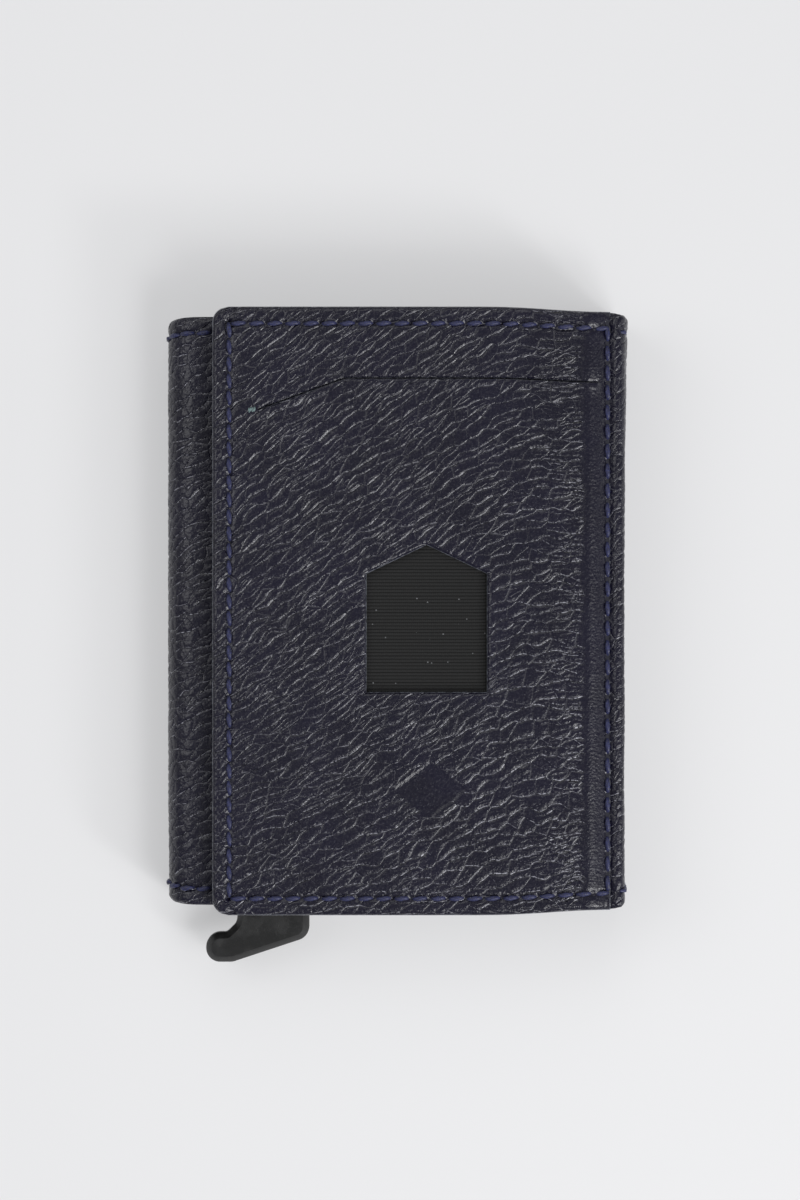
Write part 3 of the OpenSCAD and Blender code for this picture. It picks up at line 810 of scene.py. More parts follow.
ALONG_X, ALONG_Y = (1.0, 0.0, 0.0), (0.0, 1.0, 0.0)
left_y = row_places(-END_ROW, FLAP_HALF - 1, LEFT_PITCH)
end_x = row_places(LEFT_ROW, SEAM_X - 0.6, ROW_PITCH)
seam_y = row_places(-END_ROW, FLAP_HALF - 0.5, SEAM_PITCH)
rows = [flap_row(LEFT_ROW, left_y, ALONG_Y), flap_row(end_x, END_ROW, ALONG_X),
        flap_row(end_x, -END_ROW, ALONG_X)]
flap_stitches = stitches("flap_stitches", *[np.concatenate(part) for part in zip(*rows)], length=STITCH)
dress(flap_stitches, "flap", [blue_thread], ["flap_thread"])
seam_stitches = stitches("seam_stitches", *flap_row(SEAM_X, seam_y, ALONG_Y), length=2.8, slant=0.05)
dress(seam_stitches, "flap", [blue_thread])

# %% [markdown]
# Bar tack at the slit
#
# The left end of the slit is held by a tiny knot of pale thread, so that the leather doesn't tear. Four
# short stitches side by side make it.

# %% Bar tack
tack_x = SLIT_X[0] - np.array([0.5, 0.8, 1.1, 1.4])
tack_y = SLIT_Y - SLIT_DROP + np.array([0.1, 0.0, 0.05, -0.1])
tack_at = np.stack([tack_x, tack_y, np.full(4, FLAP_TOP - 0.12)], -1)
tack_way = np.stack([np.array([0.25, 0.1, 0.3, 0.0]), np.ones(4), np.zeros(4)], -1)
tack_way /= np.linalg.norm(tack_way, axis=1, keepdims=True)
bar_tack = stitches("bar_tack", tack_at, tack_way, np.broadcast_to((0.0, 0.0, 1.0), (4, 3)), length=1.1,
                    width=0.32, rise=0.12, slant=0.05)
dress(bar_tack, "flap", [teal_thread], ["slit_bartack"])

# %% [markdown]
# Back, side and spine leather
#
# One strip of leather starts under the flap's seam, turns down the spine, runs below the case, goes up
# round the left side and ends on the front. Its section is one line in X and Z, and the sheet follows that
# line. The spine turns about two fold lines, and a piece can bend across one joint only. So the strip is
# split halfway up the spine. Both parts are level with each other there, because both follow the spine.


# %% Section line of the strip
def arc(x, z, r, start, end, count=24):
    """Points on a circle about (x, z), angles in degrees."""
    a = np.radians(np.linspace(start, end, count))
    return np.stack([x + r * np.cos(a), z + r * np.sin(a)], -1)


def soften(points, times=5):
    """Cuts every corner of an open line again and again, which leaves a smooth curve."""
    for _ in range(times):
        a, b = points[:-1], points[1:]
        middle = np.stack([a * 0.75 + b * 0.25, a * 0.25 + b * 0.75], 1).reshape(-1, 2)
        points = np.concatenate([points[:1], middle, points[-1:]])
    return points


def line_places(line, stops, cells):
    """Points and unit tangents at even steps between stops, which are lengths along the line."""
    length = np.concatenate([[0], np.cumsum(np.linalg.norm(np.diff(line, axis=0), axis=1))])
    s = spread(stops, cells)
    at = [np.interp(s, length, line[:, k]) for k in (0, 1)]
    ahead = np.stack([np.interp(s + 0.15, length, line[:, k]) for k in (0, 1)], -1)
    behind = np.stack([np.interp(s - 0.15, length, line[:, k]) for k in (0, 1)], -1)
    tangent = ahead - behind
    return s, np.stack(at, -1), tangent / np.linalg.norm(tangent, axis=1, keepdims=True)


SIDE = corners("spine_leather")[1][0]
LEFT = body_low[0]
BODY_TOP = body_high[2]
BODY_HALF = body_high[1]
WRAP_R = 5.0
LEG_END = LEFT + 14
SPLIT_Z = 8.2
FOLD_R = 1.65
turn_over = soften(np.array([[34.7, 15.2], [35.4, 15.8], [36.3, 16.5], [37.9, 16.1], [38.2, 13.6],
                             [SIDE, SPLIT_Z]]))
under_turn = arc(SIDE - FOLD_R, FOLD_R, FOLD_R, 0, -90)
left_turn = np.concatenate([arc(LEFT + WRAP_R, WRAP_R, WRAP_R, 270, 180),
                            arc(LEFT + WRAP_R, BODY_TOP - WRAP_R, WRAP_R, 180, 90)])
strip_line = np.concatenate([turn_over, under_turn, left_turn, [[LEG_END, BODY_TOP]]])
step_length = np.linalg.norm(np.diff(strip_line, axis=0), axis=1)
whole_length = step_length.sum()
split_at = step_length[:len(turn_over) - 1].sum()
back_starts = step_length[:len(turn_over) + len(under_turn) - 1].sum()
left_starts = step_length[:len(turn_over) + len(under_turn)].sum()
leg_starts = whole_length - step_length[-1]
print("strip", round(whole_length, 1), "mm long; split at", round(split_at, 1))


# %% Sheet along the section line
def strip_half(s):
    """Half of the strip's height: full on the back, a little less where it is pulled round a side."""
    spine = np.interp(s, (0, 3, split_at, back_starts), (0.45, 0.1, -0.45, 0.0))
    left = np.exp(-((s - (left_starts + leg_starts) / 2) / 5.0) ** 2)
    return BODY_HALF + spine - 0.8 * left


def strip_relief(s, y, half):
    """Height in mm of the strip's face, its place among the cells, and how weak its fine creases are."""
    leg = smooth((s - leg_starts + 2) / 3)
    cells = grain_map(s, y, 0.45, lambda v: v, 57)
    fine = 0.18 + 0.13 * waves(s, y, 2.4, 12)
    height = crease_height(leather_crease(cells, fine))
    wrinkle = np.exp(-((np.mod(y + 0.5 * waves(s, y, 4.0, 73), 3.1) - 1.5) / 0.3) ** 2)
    height -= 0.14 * leg * wrinkle * smooth((s - leg_starts) / 2)
    height += 0.05 * waves(s, y, 5.0, 61) + 0.08 * waves(s, y, 15.0, 62) - 0.13
    upper = np.maximum(y, 0) / 48
    lower = np.minimum(y, 0) / 48
    side = smooth((s - 3) / 4) * (1 - smooth((s - split_at - 2) / 3))
    height += side * (-0.22 + 0.7 * upper ** 2 + 0.3 * lower ** 2)
    height -= 0.4 * roll(half - np.abs(y), 0.8) + 0.35 * roll(whole_length - s, 0.7)
    height += stitch_ditch(np.abs(y) - half + STITCH_INSET, s, ROW_PITCH, 0.3)
    return height, cells, fine


STRIP_ROWS = 80


def strip_sheet(name, stops, cells, thickness):
    """The leather between two lengths of the section line."""
    s, at, tangent = line_places(strip_line, stops, cells)
    half = strip_half(s)
    v = np.linspace(-1, 1, STRIP_ROWS * EVERY + 1)[:, None]
    y = v * half
    s_grid = np.broadcast_to(s, y.shape)
    base = np.stack([np.broadcast_to(at[:, 0], y.shape), y, np.broadcast_to(at[:, 1], y.shape)], -1)
    out = np.stack([-tangent[:, 1], 0 * s, tangent[:, 0]], -1)
    normal = np.broadcast_to(out, base.shape)
    height, cells, fine = strip_relief(s_grid, y, half)
    thick = np.broadcast_to(thickness(s), y.shape)[..., None]
    return leather_sheet(name, base, normal, height, thick, bulge=0.03, cells=cells, fine=fine,
                         leather_at=np.stack([s_grid, y, 0 * y], -1))


wrap_leather = strip_sheet("wrap_leather", (split_at, back_starts, left_starts, leg_starts, whole_length),
                           (9, 32, 18, 8), lambda s: 1.3 - 0.2 * (s < back_starts))
dress(wrap_leather, None, LEATHER, ["body_leather"])
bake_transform(wrap_leather)
spine_top = strip_sheet("spine_top_leather", (0, split_at), (10,),
                        lambda s: 0.45 + 0.65 * smooth(s / 3))
dress(spine_top, None, LEATHER, ["spine_leather"])
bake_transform(spine_top)


# %% Stitches along the strip
def strip_row(first, last):
    """Two rows of stitches, near the upper and the lower edge, between two lengths of the line."""
    hole = 0.3 + ROW_PITCH * np.arange(math.ceil((first - 0.3) / ROW_PITCH), (last - 0.3) / ROW_PITCH)
    s = hole + ROW_PITCH / 2
    length = np.concatenate([[0], np.cumsum(step_length)])
    x, z = (np.interp(s, length, strip_line[:, k]) for k in (0, 1))
    ahead = [np.interp(s + 0.4, length, strip_line[:, k]) for k in (0, 1)]
    behind = [np.interp(s - 0.4, length, strip_line[:, k]) for k in (0, 1)]
    dx, dz = ahead[0] - behind[0], ahead[1] - behind[1]
    size = np.hypot(dx, dz)
    along = np.stack([dx / size, 0 * dx, dz / size], -1)
    out = np.stack([-dz / size, 0 * dx, dx / size], -1)
    row = strip_half(s) - STITCH_INSET
    rows = [np.stack([x, sign * row, z], -1) - STRIP_SINK * out for sign in (-1, 1)]
    return np.concatenate(rows), np.tile(along, (2, 1)), np.tile(out, (2, 1))


body_stitches = stitches("body_stitches", *strip_row(back_starts + 2.5, whole_length - 3), length=STITCH)
dress(body_stitches, "body", [blue_thread], ["body_thread"])
low_stitches = stitches("spine_low_stitches", *strip_row(split_at, back_starts + 2.5), length=STITCH)
dress(low_stitches, None, [blue_thread], ["spine_thread"])
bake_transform(low_stitches)
high_stitches = stitches("spine_high_stitches", *strip_row(1.0, split_at - 0.5), length=STITCH)
dress(high_stitches, None, [blue_thread])
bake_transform(high_stitches)

# %% [markdown]
# Flat layers
#
# The wallet is built up from flat layers: linings, pocket bands and felt. One function makes such a layer,
# facing up or down, with its face modelled and its cut edge a little rounded. A band that has a thumb
# notch uses columns that bunch up at the ends of the notch, where its edge is steep.


# %% Flat layer
def even(start, end, step):
    """Even places from start to end, about a step apart, in a whole number of coarse cells."""
    return spread((start, end), (max(1, round((end - start) / step / EVERY)),))


def layer(name, x, y, z, thickness, facing, relief, plan=None, bulge=0.06):
    """Places x and y, moved by plan; z is the face's height; facing is 1 up, -1 down."""
    x, y = np.broadcast_arrays(x, y)
    if facing < 0:
        x, y = x[:, ::-1], y[:, ::-1]
    height, cells = relief(x, y)
    plan_x, plan_y = plan(x, y) if plan else (x, y)
    base = np.stack([plan_x, plan_y, np.full(x.shape, float(z))], -1)
    normal = np.broadcast_to((0.0, 0.0, float(facing)), base.shape)
    thick = thickness(x, y)[..., None] if callable(thickness) else thickness
    return leather_sheet(name, base, normal, height, thick, bulge=bulge, cells=cells,
                         fine=0 * x + LINING_FINE, leather_at=np.stack([x, y, 0 * x], -1))


LINING_FINE = 0.12      # weakness of the fine creases in lining leather, mm


def lining_map(x, y, seed):
    """Grain of lining leather: the same cells, a little smaller."""
    return grain_map(x, y, 0.3, lambda v: v, seed, size=0.8)


def lining_grain(cells):
    """Height in mm of the shallow creases of lining leather."""
    return crease_height(leather_crease(cells, LINING_FINE), 0.09, 0.28)


def smooth_leather(left, right, bottom, top, seed):
    """Relief of thin lining leather: faint grain, and edges rolled over at the four limits."""
    def relief(x, y):
        """Height in mm and place among the cells at x, y."""
        cells = lining_map(x, y, seed)
        height = lining_grain(cells) + 0.04 * waves(x, y, 9.0, seed)
        edge = np.minimum(np.minimum(x - left, right - x), np.minimum(y - bottom, top - y))
        return height - 0.18 * roll(np.maximum(edge, 0), 0.6), cells
    return relief


def limits(low, high):
    """Left, right, bottom and top of a box."""
    return low[0], high[0], low[1], high[1]


def block_layer(node_name, body, facing, step, relief, finishes):
    """A flat layer that takes the place of a CAD node with the same box."""
    low, high = corners(node_name)
    z = high[2] if facing > 0 else low[2]
    sheet = layer(node_name + "_sheet", even(low[0], high[0], step), even(low[1], high[1], step)[:, None],
                  z, high[2] - low[2], facing, relief)
    return dress(sheet, body, finishes, [node_name])


def flap_plan(x, y):
    """Plan of a layer of the flap: round left corners, and drawn in towards the spine."""
    return rounded(x, y, FLAP_HALF), taper(x, y)


def nothing(x):
    """Cloth has no leather cells."""
    return np.zeros(np.shape(x) + (3,))


def with_notch(x, mouth, centre, radius):
    """Top edge of a band at x: a straight mouth with a half-round notch."""
    return mouth - np.sqrt(np.clip(radius ** 2 - (x - centre) ** 2, 0, None))


# %% Layers of the flap
inner_low, inner_high = corners("flap_inner_leather")
BED = 4.2               # width of the rim round the bed that the board lies in, mm


def inner_thickness(x, y):
    """Thin where the board lies in it, and thick in the rim round the board."""
    rim = BED - 0.1
    in_x = (x > inner_low[0] + rim) & (x < inner_high[0] - rim)
    in_bed = in_x & (np.abs(y) < inner_high[1] - rim)
    return np.where(in_bed, inner_high[2] - inner_low[2] - 0.6, inner_high[2] - inner_low[2])


def rimmed(low, high, cells):
    """Places with one narrow coarse cell on each side, where the rim steps down to the bed."""
    stops = (low, low + BED - 0.3, low + BED, high - BED, high - BED + 0.3, high)
    return spread(stops, (3, 1, cells, 1, 3))


inner_x = rimmed(inner_low[0], inner_high[0], 24)
inner_y = rimmed(inner_low[1], inner_high[1], 40)[:, None]
flap_inner = layer("flap_inner_leather_sheet", inner_x, inner_y, inner_low[2], inner_thickness, -1,
                   smooth_leather(*limits(inner_low, inner_high), 91), flap_plan)
dress(flap_inner, "flap", LINING, ["flap_inner_leather"])

pocket_low, pocket_high = corners("flap_inner_pockets")
MOUTHS = (24.0, 37.0)
for number, (low, high) in enumerate(zip((pocket_low[1], MOUTHS[0] + 0.5), MOUTHS)):
    band = layer(f"flap_pocket_band_{number + 1}", even(pocket_low[0], pocket_high[0], 0.6),
                 even(low, high, 0.6)[:, None], pocket_low[2], pocket_high[2] - pocket_low[2], -1,
                 smooth_leather(pocket_low[0], pocket_high[0], low, high, 95 + number), flap_plan)
    dress(band, "flap", LINING, ["flap_inner_pockets"])

ribbed_low, ribbed_high = corners("flap_pocket_lining")


def ribs(x, y):
    """Round ribs that run from side to side, RIB apart."""
    height = 0.1 * np.abs(np.cos(np.pi * y / RIB)) ** 0.8 - 0.1 + 0.02 * waves(x, y, 6.0, 88)
    return height, nothing(x)


rib_stops = (ribbed_low[1], WINDOW_LOW - 2.5, WINDOW_LOW + 28.0, SLIT_Y - 7, SLIT_Y + 3, ribbed_high[1])
rib_rows = spread(rib_stops, (12, 64, 8, 20, 6))[:, None]
ribbed = layer("ribbed_lining", even(ribbed_low[0], ribbed_high[0], 1.2), rib_rows, ribbed_high[2],
               ribbed_high[2] - ribbed_low[2], 1, ribs, flap_plan)
dress(ribbed, "flap", [ribbed_cloth] * 3, ["flap_pocket_lining"])

# %% Layers of the body
facing_relief = smooth_leather(*limits(*corners("front_facing")), 101)
block_layer("front_facing", "body", 1, 0.6, facing_relief, LINING)

# %% Pocket band with a thumb notch
card_low, card_high = corners("front_card_pocket")
NOTCH_X, NOTCH_R = 0.5, 9.0
notch_turn = NOTCH_X - NOTCH_R * np.cos(np.linspace(0, np.pi, 12 * EVERY + 1))
card_x = np.concatenate([even(card_low[0], NOTCH_X - NOTCH_R, 0.6)[:-1], notch_turn,
                         even(NOTCH_X + NOTCH_R, card_high[0], 0.6)[1:]])
mouth_line = with_notch(card_x, card_high[1], NOTCH_X, NOTCH_R)
card_t = even(0.0, 1.0, 0.6 / (card_high[1] - card_low[1]))[:, None]
notch_start = int(np.argmax(card_x >= NOTCH_X - NOTCH_R - 1e-9))
notch_end = notch_start + notch_turn.size - 1
plain_x = card_x.copy()
plain_x[notch_start:notch_end + 1] = np.linspace(NOTCH_X - NOTCH_R, NOTCH_X + NOTCH_R, notch_turn.size)
card_place = plain_x + card_t ** 4 * (card_x - plain_x)
card_y = card_low[1] + card_t * (mouth_line - card_low[1])


def card_relief(x, y):
    """Faint grain, with the mouth and its notch rolled over and a line pressed beside them."""
    cells = lining_map(x, y, 107)
    from_notch = np.hypot(x - NOTCH_X, y - card_high[1]) - NOTCH_R
    from_side = np.minimum(x - card_low[0], card_high[0] - x)
    edge = np.maximum(np.minimum(from_side, np.minimum(from_notch, card_high[1] - y)), 0)
    pressed = 0.08 * np.exp(-((edge - 1.6) / 0.3) ** 2)
    return lining_grain(cells) - 0.18 * roll(edge, 0.6) - pressed, cells


card_band = layer("front_card_band", card_place, card_y, card_high[2], card_high[2] - card_low[2], 1,
                  card_relief)
dress(card_band, "body", LINING, ["front_card_pocket"])


# %% Linings and felt
def cloth_finish(name, dark, pale, thread=1.6, roughness=0.85):
    """Plain woven cloth: two crossing waves make the threads, with a little lint."""
    material, tree, shader = new_finish(name, roughness, specular=0.3, sheen=0.2)
    place = attribute(tree, "leather_at", 1)
    warp, weft = (node(tree, "TexWave", settings={"bands_direction": way}, Vector=place, Scale=thread,
                       Distortion=0.4) for way in "XY")
    lint = node(tree, "TexNoise", Vector=place, Scale=2.5, Detail=4.0)
    weave = calc(tree, "MULTIPLY", warp, weft)
    colour = mix_colour(tree, calc(tree, "MULTIPLY", weave, lint), dark, pale)
    paint(tree, shader, colour, None, bump(tree, lint, 0.03, bump(tree, weave, 0.05)))
    return material


woven_lining = cloth_finish("woven_lining", (0.008, 0.008, 0.010, 1), (0.05, 0.05, 0.058, 1))
felt = cloth_finish("pressed_felt", (0.018, 0.018, 0.020, 1), (0.07, 0.07, 0.075, 1), thread=0.3,
                    roughness=0.95)


def felted(x, y):
    """Soft tufts of pressed felt."""
    return 0.07 * waves(x, y, 0.8, 133) + 0.05 * waves(x, y, 0.35, 134), nothing(x)


block_layer("back_lining", "body", 1, 1.2, lambda x, y: (0.03 * waves(x, y, 1.7, 131), nothing(x)),
            [woven_lining] * 3)
block_layer("felt_back", "body", 1, 0.4, felted, [felt] * 3)
block_layer("felt_front", "body", -1, 0.4, felted, [felt] * 3)

# %% Lining of the spine
# this lining stands up, so its sheet runs along Z and faces into the wallet
spine_low, spine_high = corners("spine_lining")
stand_z = even(spine_low[2], spine_high[2], 0.6)
stand_y = even(spine_low[1], spine_high[1], 0.8)[:, None]
stand_z, stand_y = np.broadcast_arrays(stand_z, stand_y)
stand_base = np.stack([np.full(stand_z.shape, spine_low[0]), stand_y, stand_z], -1)
inward = np.broadcast_to((-1.0, 0.0, 0.0), stand_base.shape)
stand_height = 0.03 * waves(stand_z, stand_y, 1.7, 137)
spine_sheet = leather_sheet("spine_lining_sheet", stand_base, inward, stand_height,
                            spine_high[0] - spine_low[0], bulge=0.03,
                            leather_at=np.stack([stand_z, stand_y, 0 * stand_y], -1))
dress(spine_sheet, "spine", [woven_lining] * 3, ["spine_lining"])

# %% [markdown]
# Lever, case and hard parts
#
# The lever is a flat moulding whose edges are bevelled, so it is built from its outline: rings of the same
# outline, drawn in a little at the top and the bottom. The case is an extruded tube, and its section is
# carried along Y and turned over at both lips. A Bevel modifier could round both too, but the rings keep
# the width of each bevel the same all round.


# %% Plate and ring helpers
def outline_normals(outline):
    """Unit normals that point out of a closed outline whose points run anticlockwise."""
    ahead = np.roll(outline, -1, axis=0) - outline
    ahead /= np.linalg.norm(ahead, axis=1, keepdims=True) + 1e-9
    both = ahead + np.roll(ahead, 1, axis=0)
    normal = np.stack([both[:, 1], -both[:, 0]], -1)
    stretch = 1 + (ahead * np.roll(ahead, 1, axis=0)).sum(1, keepdims=True)
    return normal / np.maximum(stretch, 0.5)


def tube_faces(rings, sides, first=0, closed=False):
    """Quads between rings of points; closed joins the last ring to the first."""
    ring = first + np.arange(rings * sides).reshape(rings, sides)
    following = np.roll(ring, -1, axis=0) if closed else ring[1:]
    near = ring if closed else ring[:-1]
    return np.stack([near, np.roll(near, -1, 1), np.roll(following, -1, 1), following], -1).reshape(-1, 4)


def plate(outline, levels):
    """Points and faces of a plate: levels is a list of (z, inset), from the underside up."""
    normal = outline_normals(outline)
    rings = [np.column_stack([outline - normal * inset, np.full(len(outline), z)]) for z, inset in levels]
    sides = len(outline)
    ring = np.arange(len(levels) * sides).reshape(len(levels), sides)
    return np.concatenate(rings), tube_faces(len(levels), sides), np.stack([ring[0, ::-1], ring[-1]])


def bevelled(low, high, width, steps=3):
    """Levels of a plate from z low to z high with round bevels."""
    turn = np.linspace(0, np.pi / 2, steps + 1)
    rise = [(low + width * (1 - math.sin(a)), width * (1 - math.cos(a))) for a in turn[::-1]]
    return rise + [(high - (z - low), inset) for z, inset in rise[::-1]]


def join_plates(name, plates, sharp=35):
    """One object from several (points, quads, caps) parts."""
    groups, shift = [], 0
    for points, quads, caps in plates:
        groups += [(quads + shift, 0), (caps + shift, 0)]
        shift += len(points)
    return build_mesh(name, np.concatenate([p for p, _, _ in plates]), groups, sharp)[0]


def round_corners(corner_points, radii, count=8):
    """Closed outline with each corner replaced by an arc of the given radius."""
    points = np.asarray(corner_points, float)
    result = []
    for before, here, after, r in zip(np.roll(points, 1, 0), points, np.roll(points, -1, 0), radii):
        a = (before - here) / np.linalg.norm(before - here)
        b = (after - here) / np.linalg.norm(after - here)
        half = math.acos(np.clip(a @ b, -1, 1)) / 2
        centre = here + (a + b) / np.linalg.norm(a + b) * (r / math.sin(half))
        start, end = here + a * r / math.tan(half), here + b * r / math.tan(half)
        t = np.linspace(0, 1, count)[:, None]
        spin = start * (1 - t) + end * t - centre
        result.append(centre + spin / np.linalg.norm(spin, axis=1, keepdims=True) * r)
    return np.concatenate(result)


# %% Outline of the lever
lever_low, lever_high = corners("eject_lever")
pin_low, pin_high = corners("pivot_pin")
cap_high = corners("base_cap")[1]
PIN = (pin_low[:2] + pin_high[:2]) / 2
HUB_LOW, HUB_HIGH = lever_low[2], lever_high[2]
PIN_HOLE, HUB_R = 1.06, 4.2
bite = arc(PIN[0], PIN[1], HUB_R - 0.4, 330, 215, 2)
toe = PIN + (-5.6, -12.4)
tab_right = PIN[0] + 9.1
LOWER_SLOPE = 0.33
under_toe = toe[1] - 2.42
tab_corners = [(tab_right, PIN[1] - 1.5), bite[0] + (0.4, 0.0), bite[-1] - (0.0, 0.2),
               (PIN[0] - 2.9, PIN[1] - 8.1), (toe[0] + 0.9, toe[1] + 2.55), (toe[0] - 2.55, toe[1] + 2.55),
               (toe[0] - 2.55, under_toe), (toe[0] + 1.9, under_toe),
               (tab_right, under_toe + (tab_right - toe[0] - 1.9) * LOWER_SLOPE)]
tab_radii = [1.3, 1.3, 1.3, 2.2, 1.0, 2.4, 2.3, 3.0, 2.4]
tab_outline = round_corners(tab_corners, tab_radii, 10)
print("lever tab", np.ptp(tab_outline, axis=0).round(1), "mm")

# %% Hub, arms and tab of the lever
face = [(HUB_LOW, 1.0), (HUB_LOW + 0.12, 0.86), (HUB_LOW + 0.95, 0.14), (HUB_LOW + 1.15, 0.0)]
face += [(HUB_HIGH - (z - HUB_LOW), inset) for z, inset in face[::-1]]
hub_turn = np.linspace(0, 2 * np.pi, 48, endpoint=False)
hub_profile = np.array([(PIN_HOLE, HUB_LOW + 0.2), (PIN_HOLE + 0.2, HUB_LOW), (HUB_R - 0.3, HUB_LOW),
                        (HUB_R, HUB_LOW + 0.3), (HUB_R, HUB_HIGH - 0.3), (HUB_R - 0.3, HUB_HIGH),
                        (PIN_HOLE + 0.2, HUB_HIGH), (PIN_HOLE, HUB_HIGH - 0.2)])
hub_r, hub_z = hub_profile[:, :1], hub_profile[:, 1:]
hub_points = np.stack([PIN[0] + hub_r * np.cos(hub_turn), PIN[1] + hub_r * np.sin(hub_turn),
                       hub_z + 0 * hub_turn], -1).reshape(-1, 3)
hub = (hub_points, tube_faces(8, 48, closed=True), np.zeros((0, 4), int))
ARM_FROM, ARMS, STEP_RUN = PIN[0] + 1.6, 5, 7.0
arm_top, arm_low = cap_high[1], cap_high[1] - 6
arm_step = (HUB_HIGH - HUB_LOW) / ARMS
arm_plates = []
for number in range(ARMS):
    arm_end = lever_high[0] - (ARMS - 1 - number) * STEP_RUN
    arm_box = [(ARM_FROM, arm_low), (arm_end, arm_low), (arm_end, arm_top), (ARM_FROM, arm_top)]
    arm_outline = round_corners(arm_box, [0.4, 2.5, 0.6, 0.4], 6)
    floor_z = HUB_LOW + number * arm_step
    arm_plates.append(plate(arm_outline, bevelled(floor_z, floor_z + arm_step, 0.12, 2)))
lever = join_plates("lever_moulding", [plate(tab_outline, face), hub] + arm_plates)


# %% Moulded plastic
def moulded_finish(name, dark, pale, roughness, grain_size, depth):
    """Moulded plastic: a fine spark-eroded texture, a few light scratches and a cloudy gloss."""
    material, tree, shader = new_finish(name, roughness)
    place = object_place(tree)
    texture = node(tree, "TexNoise", Vector=place, Scale=grain_size, Detail=3.0)
    cloud = node(tree, "TexNoise", Vector=place, Scale=300.0, Detail=3.0)
    scratch = node(tree, "TexNoise", Vector=place, Scale=420.0, Detail=1.0, Distortion=3.0)
    line = remap(tree, calc(tree, "ABSOLUTE", calc(tree, "SUBTRACT", scratch, 0.5)), 0.0, 0.012, 1.0, 0.0)
    colour = mix_colour(tree, remap(tree, cloud, 0.4, 0.65), dark, pale)
    scratched = tuple(3 * c for c in pale[:3]) + (1,)
    colour = mix_colour(tree, calc(tree, "MULTIPLY", line, 0.35), colour, scratched)
    rough = remap(tree, cloud, 0.3, 0.7, roughness - 0.07, roughness + 0.1)
    paint(tree, shader, colour, rough, bump(tree, texture, depth))
    return material


lever_plastic = moulded_finish("lever_plastic", (0.008, 0.008, 0.008, 1), (0.014, 0.014, 0.014, 1),
                               0.38, 4200.0, 0.03)
cap_plastic = moulded_finish("cap_plastic", (0.012, 0.012, 0.012, 1), (0.019, 0.019, 0.019, 1),
                             0.55, 3000.0, 0.05)
dress(lever, "lever", [lever_plastic], ["eject_lever"])

# %% Case
case_mid = (case_low + case_high) / 2
CASE_T = case_high[2] - case_low[2]
CASE_W = case_high[0] - case_low[0]
WALL, LIP = 0.8, 0.3
BAY = 55.2


def tube_section(inset, count=36):
    """Stadium section drawn in by inset: two half circles joined by straight faces, anticlockwise in X, Z."""
    r = CASE_T / 2 - inset
    run = (CASE_W - CASE_T) / 2
    flat = np.linspace(-run, run, 60)[1:-1]
    right = arc(run, 0, r, -90, 90, count)
    left = arc(-run, 0, r, 90, 270, count)
    top = np.stack([flat[::-1], np.full(len(flat), r)], -1)
    return np.concatenate([right, top, left, top[::-1] * (1, -1)])


lip_turn = np.linspace(0, np.pi, 9)
lip = [(WALL / 2 * (1 - math.cos(a)), LIP * (math.sin(a) - 1)) for a in lip_turn]
case_rings = [(inset, case_high[1] + y) for inset, y in lip]
case_rings += [(WALL, case_low[1] + 60), (WALL, case_low[1] + 20)]
case_rings += [(WALL - inset, case_low[1] - y) for inset, y in lip]
case_rings += [(0, case_low[1] + 20), (0, case_low[1] + 60)]
sections = []
for inset, y in case_rings:
    section = tube_section(inset)
    sections.append(np.insert(case_mid[[0, 2]] + section, 1, y, axis=1))
sleeve_quads = tube_faces(len(sections), len(sections[0]), closed=True)
sleeve_part = (np.concatenate(sections), sleeve_quads, np.zeros((0, 4), int))
web_plates = []
for sign in (-1, 1):
    web_x = case_mid[0] + sign * (BAY + WALL) / 2
    web_left, web_right = web_x - WALL / 2, web_x + WALL / 2
    web_end, web_start = case_high[1] - 0.3, case_low[1] + 0.3
    web_box = [(web_left, web_start), (web_right, web_start), (web_right, web_end), (web_left, web_end)]
    web = round_corners(web_box, [0.25] * 4, 5)
    web_plates.append(plate(web, [(case_low[2] + WALL - 0.1, 0), (case_high[2] - WALL + 0.1, 0)]))
sleeve = join_plates("case_tube", [sleeve_part] + web_plates)


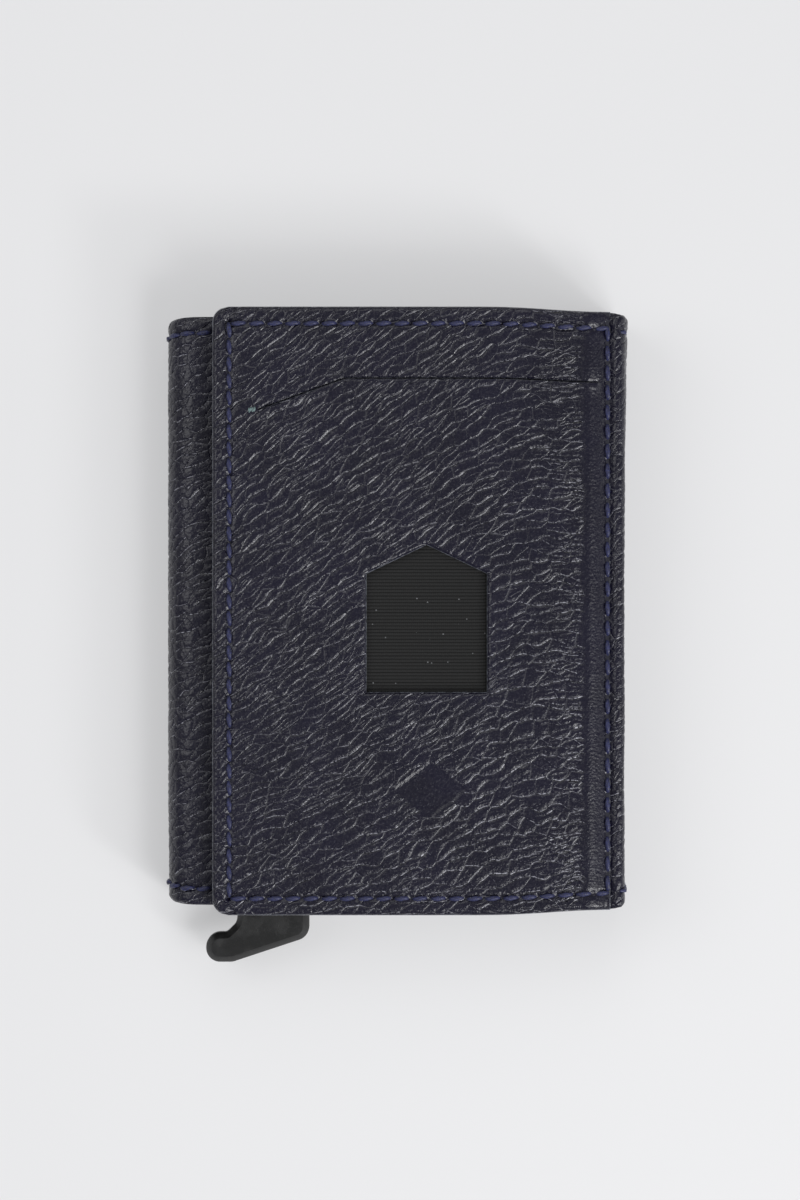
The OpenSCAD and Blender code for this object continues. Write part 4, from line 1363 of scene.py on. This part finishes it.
# %% Brushed metal
def brushed_finish(name, dark, pale, roughness=0.34):
    """Anodised aluminium, brushed along Y: noise stretched along the brushing, and soft clouds."""
    material, tree, shader = new_finish(name, roughness, metallic=1.0)
    place = object_place(tree)
    stretched = node(tree, "Mapping", Vector=place, Scale=(9000.0, 260.0, 9000.0))
    brush = node(tree, "TexNoise", Vector=stretched, Scale=1.0, Detail=4.0)
    cloud = node(tree, "TexNoise", Vector=place, Scale=160.0, Detail=3.0)
    colour = mix_colour(tree, remap(tree, brush, 0.3, 0.7), dark, pale)
    rough = remap(tree, cloud, 0.3, 0.7, roughness - 0.05, roughness + 0.08)
    paint(tree, shader, colour, rough, bump(tree, brush, 0.012))
    return material


graphite_metal = brushed_finish("graphite_aluminium", (0.10, 0.10, 0.108, 1), (0.17, 0.17, 0.18, 1))
bright_steel = brushed_finish("plated_steel", (0.45, 0.45, 0.46, 1), (0.62, 0.62, 0.63, 1), roughness=0.25)
dress(sleeve, "body", [graphite_metal], ["case_sleeve"])


# %% Finishes of the CAD parts that stay
def board_finish(name, dark, pale):
    """Pressed fibre board: a flecked colour and a felted surface."""
    material, tree, shader = new_finish(name, 0.9, specular=0.3)
    place = object_place(tree)
    fleck = node(tree, "TexVoronoi", Vector=place, Scale=1500.0)
    pulp = node(tree, "TexNoise", Vector=place, Scale=2600.0, Detail=4.0)
    colour = mix_colour(tree, remap(tree, pulp, 0.35, 0.65), dark, pale)
    colour = mix_colour(tree, remap(tree, fleck, 0.1, 0.3, 0.4, 0.0), colour, pale)
    paint(tree, shader, colour, None, bump(tree, pulp, 0.06))
    return material


fibre_board = board_finish("fibre_board", (0.03, 0.028, 0.025, 1), (0.075, 0.07, 0.06, 1))
mounting_tape = board_finish("mounting_tape", (0.42, 0.42, 0.38, 1), (0.62, 0.62, 0.58, 1))
KEPT = {"front_board": fibre_board, "flap_board": fibre_board, "back_tape": mounting_tape,
        "front_tape": mounting_tape, "keeper_plates": bright_steel, "flap_magnets": bright_steel,
        "pivot_pin": bright_steel, "base_cap": cap_plastic}
for name, finish in KEPT.items():
    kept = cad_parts[name].data
    kept.materials.clear()
    kept.materials.append(finish)
print("CAD parts with a finish:", ", ".join(KEPT))
